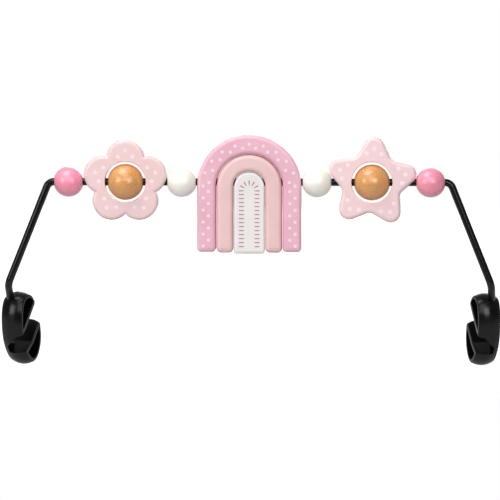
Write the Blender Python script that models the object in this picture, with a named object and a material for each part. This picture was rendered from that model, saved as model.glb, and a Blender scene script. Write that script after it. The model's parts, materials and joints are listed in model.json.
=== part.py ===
"""Bouncer toy bar: a bent steel rod with a hook clip pressed on each end, carrying wooden toys that spin.

From left to right the rod carries a painted bead, a flower frame with a wooden ball in its hole, a white
bead, a rainbow of three nested arches, a white bead, a star frame with its ball and a painted bead.
X runs along the rod, Y points away from the child's side, Z is up. The origin is halfway between the two
clip seats, where the bar hangs on the seat's side tubes.
"""

import math

import bmesh
import bpy
from mathutils import Matrix, Vector

MM = 0.001

# Clearances and overruns
RUNNING_CLEARANCE = 0.8 * MM
SEAT_GAP = 0.3 * MM
CUT_OVERRUN = 5.0 * MM

# Rod
ROD_DIAMETER = 8.0 * MM
LEG_LENGTH = 118.0 * MM
LEG_SPLAY = math.radians(21.8)
UPPER_BEND_RADIUS = 8.5 * MM
LOWER_BEND_RADIUS = 14.0 * MM
END_TILT = math.radians(46.0)
END_SKEW = math.radians(2.8)
END_REACH = 23.0 * MM
END_INSERTION = 14.0 * MM
BEND_STEPS = 8
ROD_SIDES = 16

# Beads and balls
BEAD_DIAMETER = 32.0 * MM
BALL_DIAMETER = 38.5 * MM
BALL_CLEARANCE = 2.5 * MM
TURNED_SIDES = 24
TURNED_STEPS = 11

# Boards shared by the toys
BOARD_THICKNESS = 15.5 * MM
SOFT_EDGE = 4.0 * MM
HOLE_EDGE = 1.0 * MM
HOLE_RADIUS = BALL_DIAMETER / 2 + BALL_CLEARANCE
HOLE_SIDES = 36
BORE_SIDES = 20
EDGE_STEPS = 3
RIM_ANGLE = math.radians(80.0)
FLAT_ANGLE = math.radians(1.0)
SMOOTH_ANGLE = math.radians(35.0)

# Flower
PETALS = 5
FLOWER_RIM = 12.6 * MM
PETAL_RISE = 10.9 * MM
PETAL_STEPS = 12
FLOWER_NOTCH = HOLE_RADIUS + FLOWER_RIM
FLOWER_REACH = FLOWER_NOTCH + PETAL_RISE
# The petals' circles touch the reach and run into each other at the notch
PETAL_CENTRE = (FLOWER_REACH**2 - FLOWER_NOTCH**2) / (
    2 * (FLOWER_REACH - FLOWER_NOTCH * math.cos(math.pi / PETALS))
)
PETAL_RADIUS = FLOWER_REACH - PETAL_CENTRE
PETAL_HEADING = math.pi / 2
SIDE_PETAL = PETAL_HEADING - round(PETALS / 4) * math.tau / PETALS

# Star
STAR_POINTS = 5
STAR_RIM = 10.0 * MM
STAR_ARM = 28.9 * MM
STAR_TIP_FILLET = 10.9 * MM
STAR_NOTCH_FILLET = 8.0 * MM
STAR_TURN = math.radians(-4.0)
STAR_FILLET_STEPS = 6
STAR_NOTCH = HOLE_RADIUS + STAR_RIM
STAR_REACH = STAR_NOTCH + STAR_ARM
STAR_HEADING = math.pi / 2 + STAR_TURN

# Rainbow
ARCH_CENTRE_DROP = 5.2 * MM
OUTER_FOOT_DROP = 74.4 * MM
MIDDLE_FOOT_DROP = 75.2 * MM
INNER_FOOT_DROP = 76.2 * MM
INNER_ARCH_HALF_WIDTH = 16.2 * MM
MIDDLE_ARCH_GAP = 0.7 * MM
MIDDLE_ARCH_BAND = 18.0 * MM
OUTER_ARCH_GAP = 0.6 * MM
OUTER_ARCH_BAND = 20.0 * MM
INNER_ARCH_THICKNESS = 12.0 * MM
INNER_ARCH_EDGE = 2.0 * MM
FOOT_ROUNDING = 0.3 * MM
FOOT_STEPS = 2
ARCH_STEPS = 20
MIDDLE_ARCH_INSIDE = INNER_ARCH_HALF_WIDTH + MIDDLE_ARCH_GAP
MIDDLE_ARCH_OUTSIDE = MIDDLE_ARCH_INSIDE + MIDDLE_ARCH_BAND
OUTER_ARCH_INSIDE = MIDDLE_ARCH_OUTSIDE + OUTER_ARCH_GAP
OUTER_ARCH_OUTSIDE = OUTER_ARCH_INSIDE + OUTER_ARCH_BAND

# Places along the rod
WHITE_BEAD_GAP = 0.5 * MM
TOY_GAP = 0.6 * MM
PINK_BEAD_GAP = 1.5 * MM

# Clip
CLIP_WIDTH = 24.5 * MM
CLIP_DEPTH = 52.2 * MM
CLIP_HEIGHT = 78.8 * MM
CLIP_CROWN = 3.4 * MM
CLIP_EDGE = 0.8 * MM
CLIP_WALL = 2.8 * MM
CLIP_WEB = 2.8 * MM
CLIP_YAW = math.radians(20.0)
CLIP_ENTRY_OFFSET = 3.3 * MM
SLOT_ANGLE = math.radians(50.0)
SLOT_SEAT_RADIUS = 10.0 * MM
SLOT_FRONT_WALL = 10.3 * MM
SLOT_FLOOR_WALL = 22.8 * MM
SLOT_WALL = 4.0 * MM
MOUTH_FILLET = 3.0 * MM
MOUTH_SHOULDER = 10.0 * MM
BOSS_WALL = 2.6 * MM
OUTLINE_STEPS = 4
SEAT_STEPS = 12
MOUTH_STEPS = 4
CLIP_STATIONS = 4
# The seat stands behind the clip's front wall and above its lowest point
SLOT_SEAT_DEPTH = SLOT_FRONT_WALL + SLOT_SEAT_RADIUS
SLOT_SEAT_DROP = CLIP_HEIGHT - SLOT_FLOOR_WALL - SLOT_SEAT_RADIUS

# The clip's outer contour without its slot, as shares of its depth (backwards) and height (downwards)
CLIP_OUTLINE_SHARES = (
    (0.37, 0.0),
    (0.575, -0.03),
    (0.71, -0.11),
    (0.86, -0.25),
    (0.945, -0.41),
    (1.0, -0.61),
    (0.965, -0.78),
    (0.83, -0.93),
    (0.61, -1.0),
    (0.38, -0.945),
    (0.19, -0.815),
    (0.06, -0.65),
    (0.0, -0.44),
    (0.015, -0.23),
    (0.13, -0.07),
)

PINK = (0.87, 0.26, 0.4)
ROSE = (0.85, 0.39, 0.5)
PALE_PINK = (0.85, 0.6, 0.63)
WARM_WHITE = (0.85, 0.85, 0.8)
WHITE = (0.84, 0.84, 0.84)
BEECH = (0.6, 0.3, 0.1)
BLACK = (0.012, 0.012, 0.013)
GLOSS = 0.3
SATIN = 0.4
MATT = 0.5


def clear_scene():
    for obj in list(bpy.data.objects):
        bpy.data.objects.remove(obj, do_unlink=True)


def make_material(name, colour, roughness):
    """A Principled material with one plain colour."""
    material = bpy.data.materials.new(name)
    material.use_nodes = True
    shader = material.node_tree.nodes["Principled BSDF"]
    shader.inputs["Base Color"].default_value = (*colour, 1.0)
    shader.inputs["Roughness"].default_value = roughness
    shader.inputs["Metallic"].default_value = 0.0
    return material


def add_object(name, bm, material=None, parent=None, location=(0, 0, 0), turn=0.0):
    """Turns a bmesh into a named, smooth-shaded object."""
    mesh = bpy.data.meshes.new(name)
    bmesh.ops.recalc_face_normals(bm, faces=bm.faces)
    bm.to_mesh(mesh)
    bm.free()
    mesh.shade_smooth()
    mesh.set_sharp_from_angle(angle=SMOOTH_ANGLE)
    obj = bpy.data.objects.new(name, mesh)
    bpy.context.scene.collection.objects.link(obj)
    if material:
        mesh.materials.append(material)
    obj.parent = parent
    obj.location = location
    obj.rotation_euler = (0.0, 0.0, turn)
    return obj


def add_cutter(name, bm, parent=None, location=(0, 0, 0), turn=0.0):
    """An object that only cuts others: it is drawn as wire and never rendered."""
    cutter = add_object(name, bm, None, parent, location, turn)
    cutter.hide_render = True
    cutter.display_type = "WIRE"
    return cutter


def cut(target, cutter):
    """Takes the cutter's shape out of the target."""
    modifier = target.modifiers.new(cutter.name, "BOOLEAN")
    modifier.operation = "DIFFERENCE"
    modifier.solver = "EXACT"
    modifier.object = cutter


def arc(centre, radius, start, end, steps):
    """Points on an arc in the plane, both ends included."""
    points = []
    for i in range(steps + 1):
        angle = start + (end - start) * i / steps
        points.append(centre + radius * Vector((math.cos(angle), math.sin(angle))))
    return points


def fillet(before, corner, after, radius, steps):
    """The arc that rounds a corner of a polygon in the plane."""
    to_before = (before - corner).normalized()
    to_after = (after - corner).normalized()
    half = to_before.angle(to_after) / 2.0
    bisector = (to_before + to_after).normalized()
    centre = corner + bisector * (radius / math.sin(half))
    reach = radius / math.tan(half)
    start = corner + to_before * reach - centre
    sweep = -start.angle_signed(corner + to_after * reach - centre)
    base = math.atan2(start.y, start.x)
    return arc(centre, radius, base, base + sweep, steps)


def add_rod_bore(toy, reach):
    """Bores a toy along the rod, right through its reach on both sides of its centre."""
    bm = bmesh.new()
    bmesh.ops.create_cone(
        bm,
        cap_ends=True,
        segments=BORE_SIDES,
        radius1=ROD_DIAMETER / 2 + RUNNING_CLEARANCE,
        radius2=ROD_DIAMETER / 2 + RUNNING_CLEARANCE,
        depth=2 * (reach + CUT_OVERRUN),
        matrix=Matrix.Rotation(math.pi / 2, 4, "Y"),
    )
    cut(toy, add_cutter(toy.name + "_bore_cutter", bm, toy))


def board(outline, thickness, edge, hole_radius=0.0):
    """A board in the XZ plane, centred on Y, with softened edges and a round hole where one is asked for."""
    bm = bmesh.new()
    lines = []
    verts = [bm.verts.new((p.x, -thickness / 2, p.y)) for p in outline]
    for i, vert in enumerate(verts):
        lines.append(bm.edges.new((vert, verts[(i + 1) % len(verts)])))
    if hole_radius:
        ring = []
        for p in arc(Vector((0, 0)), hole_radius, 0.0, math.tau, HOLE_SIDES)[:-1]:
            ring.append(bm.verts.new((p.x, -thickness / 2, p.y)))
        for i, vert in enumerate(ring):
            lines.append(bm.edges.new((vert, ring[(i + 1) % len(ring)])))
        bmesh.ops.triangle_fill(bm, use_beauty=True, edges=lines)
        bmesh.ops.dissolve_limit(bm, angle_limit=FLAT_ANGLE, verts=bm.verts, edges=bm.edges)
    else:
        bm.faces.new(verts)
    made = bmesh.ops.extrude_face_region(bm, geom=bm.faces[:])
    moved = [item for item in made["geom"] if isinstance(item, bmesh.types.BMVert)]
    bmesh.ops.translate(bm, verts=moved, vec=(0, thickness, 0))
    bmesh.ops.recalc_face_normals(bm, faces=bm.faces)
    rim = []
    hole_rim = []
    for item in bm.edges:
        if len(item.link_faces) != 2 or item.calc_face_angle() < RIM_ANGLE:
            continue
        in_hole = (item.verts[0].co.xz.length + item.verts[1].co.xz.length) / 2 <= hole_radius
        (hole_rim if in_hole else rim).append(item)
    bmesh.ops.bevel(
        bm, geom=rim, offset=edge, segments=EDGE_STEPS, profile=0.5, affect="EDGES", material=-1
    )
    if hole_rim:
        hole_rim = [item for item in hole_rim if item.is_valid]
        bmesh.ops.bevel(
            bm, geom=hole_rim, offset=HOLE_EDGE, segments=1, profile=0.5, affect="EDGES", material=-1
        )
    return bm


def turned_ball(diameter):
    """A ball turned about the rod, with its bore: an arc and the bore's line spun round X."""
    radius = diameter / 2
    bore = ROD_DIAMETER / 2 + RUNNING_CLEARANCE
    start = math.asin(bore / radius)
    bm = bmesh.new()
    profile = arc(Vector((0, 0)), radius, start, math.pi - start, TURNED_STEPS)
    verts = [bm.verts.new((p.x, 0, p.y)) for p in profile]
    lines = []
    for i, vert in enumerate(verts):
        lines.append(bm.edges.new((vert, verts[(i + 1) % len(verts)])))
    bmesh.ops.spin(
        bm,
        geom=verts + lines,
        cent=(0, 0, 0),
        axis=(1, 0, 0),
        angle=math.tau,
        steps=TURNED_SIDES,
        use_merge=True,
    )
    return bm


def flower_outline():
    """Round petals whose circles run into each other at the notches."""
    points = []
    shoulder = math.acos(PETAL_CENTRE * math.sin(math.pi / PETALS) / PETAL_RADIUS)
    sweep = math.pi / 2 + math.pi / PETALS - shoulder
    for i in range(PETALS):
        heading = PETAL_HEADING + i * math.tau / PETALS
        centre = PETAL_CENTRE * Vector((math.cos(heading), math.sin(heading)))
        points += arc(centre, PETAL_RADIUS, heading - sweep, heading + sweep, PETAL_STEPS)[:-1]
    return points


def star_outline():
    """A regular star with full fillets on its tips and its notches."""
    corners = []
    for i in range(2 * STAR_POINTS):
        heading = STAR_HEADING + i * math.pi / STAR_POINTS
        reach = STAR_NOTCH if i % 2 else STAR_REACH
        corners.append(reach * Vector((math.cos(heading), math.sin(heading))))
    points = []
    for i, corner in enumerate(corners):
        radius = STAR_NOTCH_FILLET if i % 2 else STAR_TIP_FILLET
        after = corners[(i + 1) % len(corners)]
        points += fillet(corners[i - 1], corner, after, radius, STAR_FILLET_STEPS)
    return points


def arch_outline(outer_radius, inner_radius, foot_drop, edge):
    """An arch on two straight legs, or a slab with a round top where there is no inner radius."""
    foot = edge + FOOT_ROUNDING
    centre = Vector((0, -ARCH_CENTRE_DROP))
    top = arc(centre, outer_radius, 0.0, math.pi, ARCH_STEPS)
    corners = [Vector((-outer_radius, -foot_drop)), Vector((outer_radius, -foot_drop))]
    if not inner_radius:
        left = fillet(top[-1], corners[0], corners[1], foot, FOOT_STEPS)
        return top + left + fillet(corners[0], corners[1], top[0], foot, FOOT_STEPS)
    inside = arc(centre, inner_radius, math.pi, 0.0, ARCH_STEPS)
    inner = [Vector((-inner_radius, -foot_drop)), Vector((inner_radius, -foot_drop))]
    left = fillet(top[-1], corners[0], inner[0], foot, FOOT_STEPS)
    left += fillet(corners[0], inner[0], inside[0], foot, FOOT_STEPS)
    right = fillet(inside[-1], inner[1], corners[1], foot, FOOT_STEPS)
    right += fillet(inner[1], corners[1], top[0], foot, FOOT_STEPS)
    return top + left + inside + right


def bead_reach(heading, centre_radius, tip_radius, gap):
    """How far along the rod a bead sits from a frame, when it stands a gap off the frame's round side arm."""
    rise = centre_radius * math.sin(heading)
    apart = BEAD_DIAMETER / 2 + gap + tip_radius
    return abs(centre_radius * math.cos(heading)) + math.sqrt(apart**2 - rise**2)


def toy_places():
    """How far each toy's centre lies from the middle of the rod, from the rainbow outwards."""
    white = OUTER_ARCH_OUTSIDE + WHITE_BEAD_GAP + BEAD_DIAMETER / 2
    flower = white + bead_reach(SIDE_PETAL, PETAL_CENTRE, PETAL_RADIUS, TOY_GAP)
    left_pink = flower + bead_reach(SIDE_PETAL, PETAL_CENTRE, PETAL_RADIUS, PINK_BEAD_GAP)
    half_turn = math.pi / STAR_POINTS
    tip_half = math.atan2(STAR_NOTCH * math.sin(half_turn), STAR_REACH - STAR_NOTCH * math.cos(half_turn))
    tip_centre = STAR_REACH - STAR_TIP_FILLET / math.sin(tip_half)
    side_turn = round(STAR_POINTS / 4) * math.tau / STAR_POINTS
    star = white + bead_reach(STAR_HEADING + side_turn, tip_centre, STAR_TIP_FILLET, TOY_GAP)
    right_pink = star + bead_reach(STAR_HEADING - side_turn, tip_centre, STAR_TIP_FILLET, TOY_GAP)
    return {"white": white, "flower": flower, "left_pink": left_pink, "star": star, "right_pink": right_pink}


def rod_half_span():
    """Half the distance between the rod's upper corners: the bends begin where the outer beads' bores end."""
    places = toy_places()
    bore = ROD_DIAMETER / 2 + RUNNING_CLEARANCE
    half_bead = math.sqrt((BEAD_DIAMETER / 2) ** 2 - bore**2)
    bend = UPPER_BEND_RADIUS * math.tan((math.pi / 2 - LEG_SPLAY) / 2)
    return max(places["left_pink"], places["right_pink"]) + half_bead + bend


def bent_path(corners, radii):
    """A line through the corners in space, each rounded by an arc of its own radius."""
    points = [corners[0]]
    for before, corner, after, radius in zip(corners, corners[1:], corners[2:], radii):
        to_before = (before - corner).normalized()
        to_after = (after - corner).normalized()
        half = to_before.angle(to_after) / 2.0
        centre = corner + (to_before + to_after).normalized() * (radius / math.sin(half))
        start = corner + to_before * (radius / math.tan(half)) - centre
        axis = start.cross(corner + to_after * (radius / math.tan(half)) - centre).normalized()
        for i in range(BEND_STEPS + 1):
            turn = Matrix.Rotation((math.pi - 2 * half) * i / BEND_STEPS, 3, axis)
            points.append(centre + turn @ start)
    points.append(corners[-1])
    return points


def ankle(side):
    """The sharp corner at the foot of a leg. Side is 1 on the left and -1 on the right."""
    out = rod_half_span() + LEG_LENGTH * math.sin(LEG_SPLAY)
    return Vector((-side * out, 0, -LEG_LENGTH * math.cos(LEG_SPLAY)))


def rod_corners():
    """The sharp corners of the rod's centre line, from the left end to the right."""
    knee = Vector((rod_half_span(), 0, 0))
    end = (END_REACH + END_INSERTION) * END_DIRECTION
    left, right = ankle(1), ankle(-1)
    return [left + end, left, -knee, knee, right, right + end]


def add_rod(material, parent):
    """The rod is a bevelled curve through its rounded corners."""
    radii = (LOWER_BEND_RADIUS, UPPER_BEND_RADIUS, UPPER_BEND_RADIUS, LOWER_BEND_RADIUS)
    points = bent_path(rod_corners(), radii)
    curve = bpy.data.curves.new("bar_rod", "CURVE")
    curve.dimensions = "3D"
    curve.bevel_depth = ROD_DIAMETER / 2
    curve.bevel_resolution = (ROD_SIDES - 4) // 2
    curve.use_fill_caps = True
    spline = curve.splines.new("POLY")
    spline.points.add(len(points) - 1)
    for target, point in zip(spline.points, points):
        target.co = (*point, 1.0)
    curve.materials.append(material)
    rod = bpy.data.objects.new("bar_rod", curve)
    bpy.context.scene.collection.objects.link(rod)
    rod.parent = parent
    return rod


def clip_contour(inset):
    """The clip's smooth outer contour, drawn in by the inset. Its slot is not cut yet."""
    corners = [Vector((u * CLIP_DEPTH, v * CLIP_HEIGHT)) for u, v in CLIP_OUTLINE_SHARES]
    count = len(corners)
    points = []
    for i in range(count):
        a, b, c, d = (corners[(i + k - 1) % count] for k in range(4))
        for step in range(OUTLINE_STEPS):
            t = step / OUTLINE_STEPS
            point = b + 0.5 * t * (c - a + t * (2 * a - 5 * b + 4 * c - d + t * (3 * (b - c) + d - a)))
            points.append(point)
    drawn_in = []
    for i, point in enumerate(points):
        along = (points[(i + 1) % len(points)] - points[i - 1]).normalized()
        drawn_in.append(point + inset * Vector((along.y, -along.x)))
    return drawn_in


def slot_frame():
    """The slot's seat centre, the way out of its mouth and the way to its upper wall."""
    seat = Vector((SLOT_SEAT_DEPTH, -SLOT_SEAT_DROP))
    out = Vector((math.cos(SLOT_ANGLE), math.sin(SLOT_ANGLE)))
    return seat, out, Vector((-out.y, out.x))


def crossing(contour, seat, out, normal, offset):
    """Where the contour crosses a line along the slot at an offset, on the mouth's side, and after which point."""
    for i, point in enumerate(contour):
        after = contour[(i + 1) % len(contour)]
        a = normal.dot(point - seat) - offset
        b = normal.dot(after - seat) - offset
        if a * b <= 0 < out.dot(point - seat) and a != b:
            return point + (after - point) * (a / (a - b)), i
    raise ValueError("the slot's wall misses the clip's contour")


def kept_indices():
    """The contour's points that the slot leaves, from below its mouth round the front to above it."""
    contour = clip_contour(0.0)
    seat, out, normal = slot_frame()
    upper, last = crossing(contour, seat, out, normal, SLOT_SEAT_RADIUS)
    lower, first = crossing(contour, seat, out, normal, -SLOT_SEAT_RADIUS)
    kept = []
    for k in range(1, (last - first) % len(contour) + 1):
        index = (first + k) % len(contour)
        point = contour[index]
        if min((point - upper).length, (point - lower).length) > MOUTH_SHOULDER:
            kept.append(index)
    return kept


def clip_section(inset, flare):
    """The clip's whole section at one station: contour, rounded mouth and slot, always with as many points."""
    contour = clip_contour(inset)
    seat, out, normal = slot_frame()
    half = SLOT_SEAT_RADIUS + flare
    upper = crossing(contour, seat, out, normal, half)[0]
    lower = crossing(contour, seat, out, normal, -half)[0]
    kept = [contour[i] for i in kept_indices()]
    turn = math.atan2(normal.y, normal.x)
    bottom = fillet(seat - normal * half, lower, kept[0], MOUTH_FILLET, MOUTH_STEPS)
    top = fillet(kept[-1], upper, seat + normal * half, MOUTH_FILLET, MOUTH_STEPS)
    bend = arc(seat, half, turn, turn + math.pi, SEAT_STEPS)
    return kept + top + bend + bottom


def loft(sections, stations, side):
    """A closed body through equal sections that stand at stations along X."""
    bm = bmesh.new()
    rings = []
    for section, station in zip(sections, stations):
        rings.append([bm.verts.new((side * station, p.x, p.y)) for p in section])
    for lower, upper in zip(rings, rings[1:]):
        for i in range(len(lower)):
            k = (i + 1) % len(lower)
            bm.faces.new((lower[i], lower[k], upper[k], upper[i]))
    bm.faces.new(rings[0])
    bm.faces.new(rings[-1])
    return bm


def along_end(radius, start, end, yaw):
    """A cylinder on the rod's end axis, from start to end past the clip's wall, in the clip's turned frame."""
    direction = Matrix.Rotation(-yaw, 3, "Z") @ END_DIRECTION
    turn = Vector((0, 0, 1)).rotation_difference(direction).to_matrix().to_4x4()
    bm = bmesh.new()
    bmesh.ops.create_cone(
        bm,
        cap_ends=True,
        segments=BORE_SIDES,
        radius1=radius,
        radius2=radius,
        depth=end - start,
        matrix=Matrix.Translation(direction * (start + end) / 2) @ turn,
    )
    return bm


def clip_entry(side, yaw):
    """The rod's entry on the clip: the contour's shoulder that faces the rod's end squarely."""
    direction = Matrix.Rotation(-yaw, 3, "Z") @ END_DIRECTION
    facing = Vector((-direction.y, -direction.z))
    shoulder = max(clip_contour(0.0), key=lambda p: p.dot(facing))
    return Vector((-side * CLIP_ENTRY_OFFSET, shoulder.x, shoulder.y))


def clip_place(side):
    """Location and turn of a clip that meets the rod's end. Side is 1 on the left and -1 on the right."""
    yaw = -side * CLIP_YAW - END_SKEW
    wall = ankle(side) + END_REACH * END_DIRECTION
    return wall - Matrix.Rotation(yaw, 3, "Z") @ clip_entry(side, yaw), yaw


def clip_seat(side):
    """The middle of the clip's seat, on the rod's own frame."""
    location, yaw = clip_place(side)
    return location + Matrix.Rotation(yaw, 3, "Z") @ Vector((0, SLOT_SEAT_DEPTH, -SLOT_SEAT_DROP))


def add_clip(name, side, material, parent):
    """A moulded hook: crowned outside, a slot for the seat tube, and both lobes cored from the inner end."""
    location, yaw = clip_place(side)
    place = {"parent": parent, "location": location, "turn": yaw}
    half = CLIP_WIDTH / 2
    stations = [-half]
    for i in range(-CLIP_STATIONS, CLIP_STATIONS + 1):
        stations.append((half - CLIP_EDGE) * i / CLIP_STATIONS)
    stations.append(half)
    sections = []
    for station in stations:
        at_end = abs(station) > half - CLIP_EDGE / 2
        inset = CLIP_CROWN * (station / half) ** 2 + (CLIP_EDGE if at_end else 0.0)
        sections.append(clip_section(inset, CLIP_EDGE / 2 if at_end else 0.0))
    clip = add_object(name, loft(sections, stations, side), material, **place)

    core_stations = [-half + CLIP_WEB, half + CUT_OVERRUN]
    core_contour = clip_contour(CLIP_WALL + CLIP_CROWN)
    core = add_cutter(name + "_core_cutter", loft([core_contour] * 2, core_stations, side), **place)
    seat, out, normal = slot_frame()
    wide = SLOT_SEAT_RADIUS + SLOT_WALL
    turn = math.atan2(normal.y, normal.x)
    slot = arc(seat, wide, turn, turn + math.pi, SEAT_STEPS)
    slot += [seat - normal * wide + out * CLIP_HEIGHT, seat + normal * wide + out * CLIP_HEIGHT]
    slot_stations = [-half - CUT_OVERRUN, half + 2 * CUT_OVERRUN]
    cut(core, add_cutter(name + "_slot_keeper", loft([slot] * 2, slot_stations, side), **place))

    entry = clip_entry(side, yaw)
    tip = END_INSERTION
    boss = along_end(ROD_DIAMETER / 2 + SEAT_GAP + BOSS_WALL, -CUT_OVERRUN, tip + BOSS_WALL, yaw)
    boss.transform(Matrix.Translation(entry))
    cut(core, add_cutter(name + "_boss_keeper", boss, **place))
    cut(clip, core)
    bore = along_end(ROD_DIAMETER / 2 + SEAT_GAP, -2 * CUT_OVERRUN, tip + SEAT_GAP, yaw)
    bore.transform(Matrix.Translation(entry))
    cut(clip, add_cutter(name + "_bore_cutter", bore, **place))
    return clip


# Both ends run down and back, and the skew turns them to the same side
END_DIRECTION = Vector((
    math.sin(END_TILT) * math.sin(END_SKEW),
    math.sin(END_TILT) * math.cos(END_SKEW),
    -math.cos(END_TILT),
))


def build():
    clear_scene()
    pink_paint = make_material("pink_paint", PINK, GLOSS)
    rose_paint = make_material("rose_paint", ROSE, MATT)
    pale_paint = make_material("pale_paint", PALE_PINK, MATT)
    white_paint = make_material("white_paint", WHITE, MATT)
    warm_white_paint = make_material("warm_white_paint", WARM_WHITE, SATIN)
    beech = make_material("oiled_beech", BEECH, SATIN)
    black_steel = make_material("black_steel", BLACK, GLOSS)
    black_plastic = make_material("black_plastic", BLACK, SATIN)

    seats_middle = (clip_seat(1) + clip_seat(-1)) / 2
    axis = bpy.data.objects.new("rod_axis", None)
    axis.location = -seats_middle
    bpy.context.scene.collection.objects.link(axis)

    add_rod(black_steel, axis)
    add_clip("left_clip", 1, black_plastic, axis)
    add_clip("right_clip", -1, black_plastic, axis)

    places = toy_places()
    beads = (
        ("left_pink_bead", -places["left_pink"], pink_paint, BEAD_DIAMETER),
        ("left_white_bead", -places["white"], warm_white_paint, BEAD_DIAMETER),
        ("right_white_bead", places["white"], warm_white_paint, BEAD_DIAMETER),
        ("right_pink_bead", places["right_pink"], pink_paint, BEAD_DIAMETER),
        ("flower_ball", -places["flower"], beech, BALL_DIAMETER),
        ("star_ball", places["star"], beech, BALL_DIAMETER),
    )
    for name, x, material, diameter in beads:
        add_object(name, turned_ball(diameter), material, axis, (x, 0, 0))

    flower = board(flower_outline(), BOARD_THICKNESS, SOFT_EDGE, HOLE_RADIUS)
    flower_frame = add_object("flower_frame", flower, pale_paint, axis, (-places["flower"], 0, 0))
    add_rod_bore(flower_frame, FLOWER_REACH)
    star = board(star_outline(), BOARD_THICKNESS, SOFT_EDGE, HOLE_RADIUS)
    star_frame = add_object("star_frame", star, pale_paint, axis, (places["star"], 0, 0))
    add_rod_bore(star_frame, STAR_REACH)

    outer = ("rainbow_outer_arch", OUTER_ARCH_OUTSIDE, OUTER_ARCH_INSIDE, OUTER_FOOT_DROP)
    middle = ("rainbow_middle_arch", MIDDLE_ARCH_OUTSIDE, MIDDLE_ARCH_INSIDE, MIDDLE_FOOT_DROP)
    inner = ("rainbow_inner_arch", INNER_ARCH_HALF_WIDTH, 0.0, INNER_FOOT_DROP)
    arches = (
        (*outer, BOARD_THICKNESS, SOFT_EDGE, rose_paint),
        (*middle, BOARD_THICKNESS, SOFT_EDGE, pale_paint),
        (*inner, INNER_ARCH_THICKNESS, INNER_ARCH_EDGE, white_paint),
    )
    for name, outside, inside, foot_drop, thickness, edge, material in arches:
        arch = board(arch_outline(outside, inside, foot_drop, edge), thickness, edge)
        add_rod_bore(add_object(name, arch, material, axis), outside)

    print("rod axis at", [round(c, 5) for c in axis.location])
    print("toys at", {name: round(x, 5) for name, x in places.items()})
    for side in (1, -1):
        print("seat", side, [round(c, 5) for c in clip_seat(side) + axis.location])


build()
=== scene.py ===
# %% [markdown]
# # A bouncer toy bar, dressed for its picture
#
# The bar stands across a baby's bouncer seat: a bent steel rod in black paint, a moulded hook pressed on
# each end, and painted wooden toys that spin on the rod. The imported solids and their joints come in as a
# fixed frame. This script keeps their sizes and places, and makes the surfaces that one looks at: turned
# balls, boards with soft edges, printed dots and dashes, clear-finished beech and glossy black.

# %% Load the frame
import json
import math
import bmesh
import bpy
from mathutils import Matrix, Vector


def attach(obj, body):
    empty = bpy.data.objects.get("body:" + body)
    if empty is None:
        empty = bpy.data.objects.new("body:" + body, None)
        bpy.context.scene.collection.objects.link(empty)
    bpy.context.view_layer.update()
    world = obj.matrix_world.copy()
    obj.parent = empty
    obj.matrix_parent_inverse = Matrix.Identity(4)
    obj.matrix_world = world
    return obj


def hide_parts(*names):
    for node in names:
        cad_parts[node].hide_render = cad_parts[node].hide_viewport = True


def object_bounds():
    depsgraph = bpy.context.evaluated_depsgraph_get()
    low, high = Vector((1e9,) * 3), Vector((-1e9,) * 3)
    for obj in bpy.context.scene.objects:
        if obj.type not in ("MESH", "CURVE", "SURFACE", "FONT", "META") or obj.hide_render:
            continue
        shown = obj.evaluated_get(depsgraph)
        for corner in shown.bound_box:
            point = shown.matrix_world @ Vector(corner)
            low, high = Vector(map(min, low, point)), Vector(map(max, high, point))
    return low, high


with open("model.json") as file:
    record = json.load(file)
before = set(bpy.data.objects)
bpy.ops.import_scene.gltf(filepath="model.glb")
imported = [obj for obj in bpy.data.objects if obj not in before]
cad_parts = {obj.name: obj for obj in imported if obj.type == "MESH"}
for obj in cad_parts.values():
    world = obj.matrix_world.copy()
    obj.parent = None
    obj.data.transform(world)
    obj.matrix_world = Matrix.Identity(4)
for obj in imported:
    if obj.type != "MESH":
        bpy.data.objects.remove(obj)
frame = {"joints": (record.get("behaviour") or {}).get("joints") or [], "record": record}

MM = 0.001
cad_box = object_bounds()
pivots = {joint["child"]: Vector(joint["pos_m"]) for joint in frame["joints"]}
rod_axis = pivots["rainbow_outer_arch"]
print("rod axis at y", round(rod_axis.y, 4), "and z", round(rod_axis.z, 4))

# %% [markdown]
# ## The camera
#
# The picture was taken from a little to the right and a little above, with a long lens from far away, so
# that the bar shows hardly any perspective. The lens follows from how much of the bar's width the picture
# takes in.

# %% Camera
CAMERA_AZIMUTH = math.radians(1.9)
CAMERA_ELEVATION = math.radians(4.5)
CAMERA_DISTANCE = 5.0
CAMERA_AIM = rod_axis + Vector((0.7 * MM, 0, -72.5 * MM))
SEEN_WIDTH = 532.5 * MM
SENSOR_WIDTH = 36.0


def add_object(name, data):
    """A new object in the scene, round a mesh, a camera or a lamp."""
    made = bpy.data.objects.new(name, data)
    bpy.context.scene.collection.objects.link(made)
    return made


def face_bar(made, place):
    """Puts a camera or a lamp in its place and turns it to the middle of the bar."""
    made.location = place
    made.rotation_euler = (Vector(place) - CAMERA_AIM).to_track_quat("Z", "Y").to_euler()


def add_camera():
    """A camera at the picture's angle, with a lens that takes in the bar's width."""
    data = bpy.data.cameras.new("camera")
    data.sensor_width = SENSOR_WIDTH
    data.lens = SENSOR_WIDTH * CAMERA_DISTANCE / SEEN_WIDTH
    camera = add_object("camera", data)
    level = math.cos(CAMERA_ELEVATION)
    away = Vector(
        (math.sin(CAMERA_AZIMUTH) * level, -math.cos(CAMERA_AZIMUTH) * level, math.sin(CAMERA_ELEVATION))
    )
    face_bar(camera, CAMERA_AIM + CAMERA_DISTANCE * away)
    bpy.context.scene.camera = camera
    return camera


camera = add_camera()
print("lens", round(camera.data.lens, 1), "mm")

# %% [markdown]
# ## Building materials by wire
#
# A material is a small network. These helpers add a node, set it up and wire its inputs in one call, so
# that each material below reads like a recipe. A network that more than one material needs becomes a node
# group with named sockets.

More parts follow.
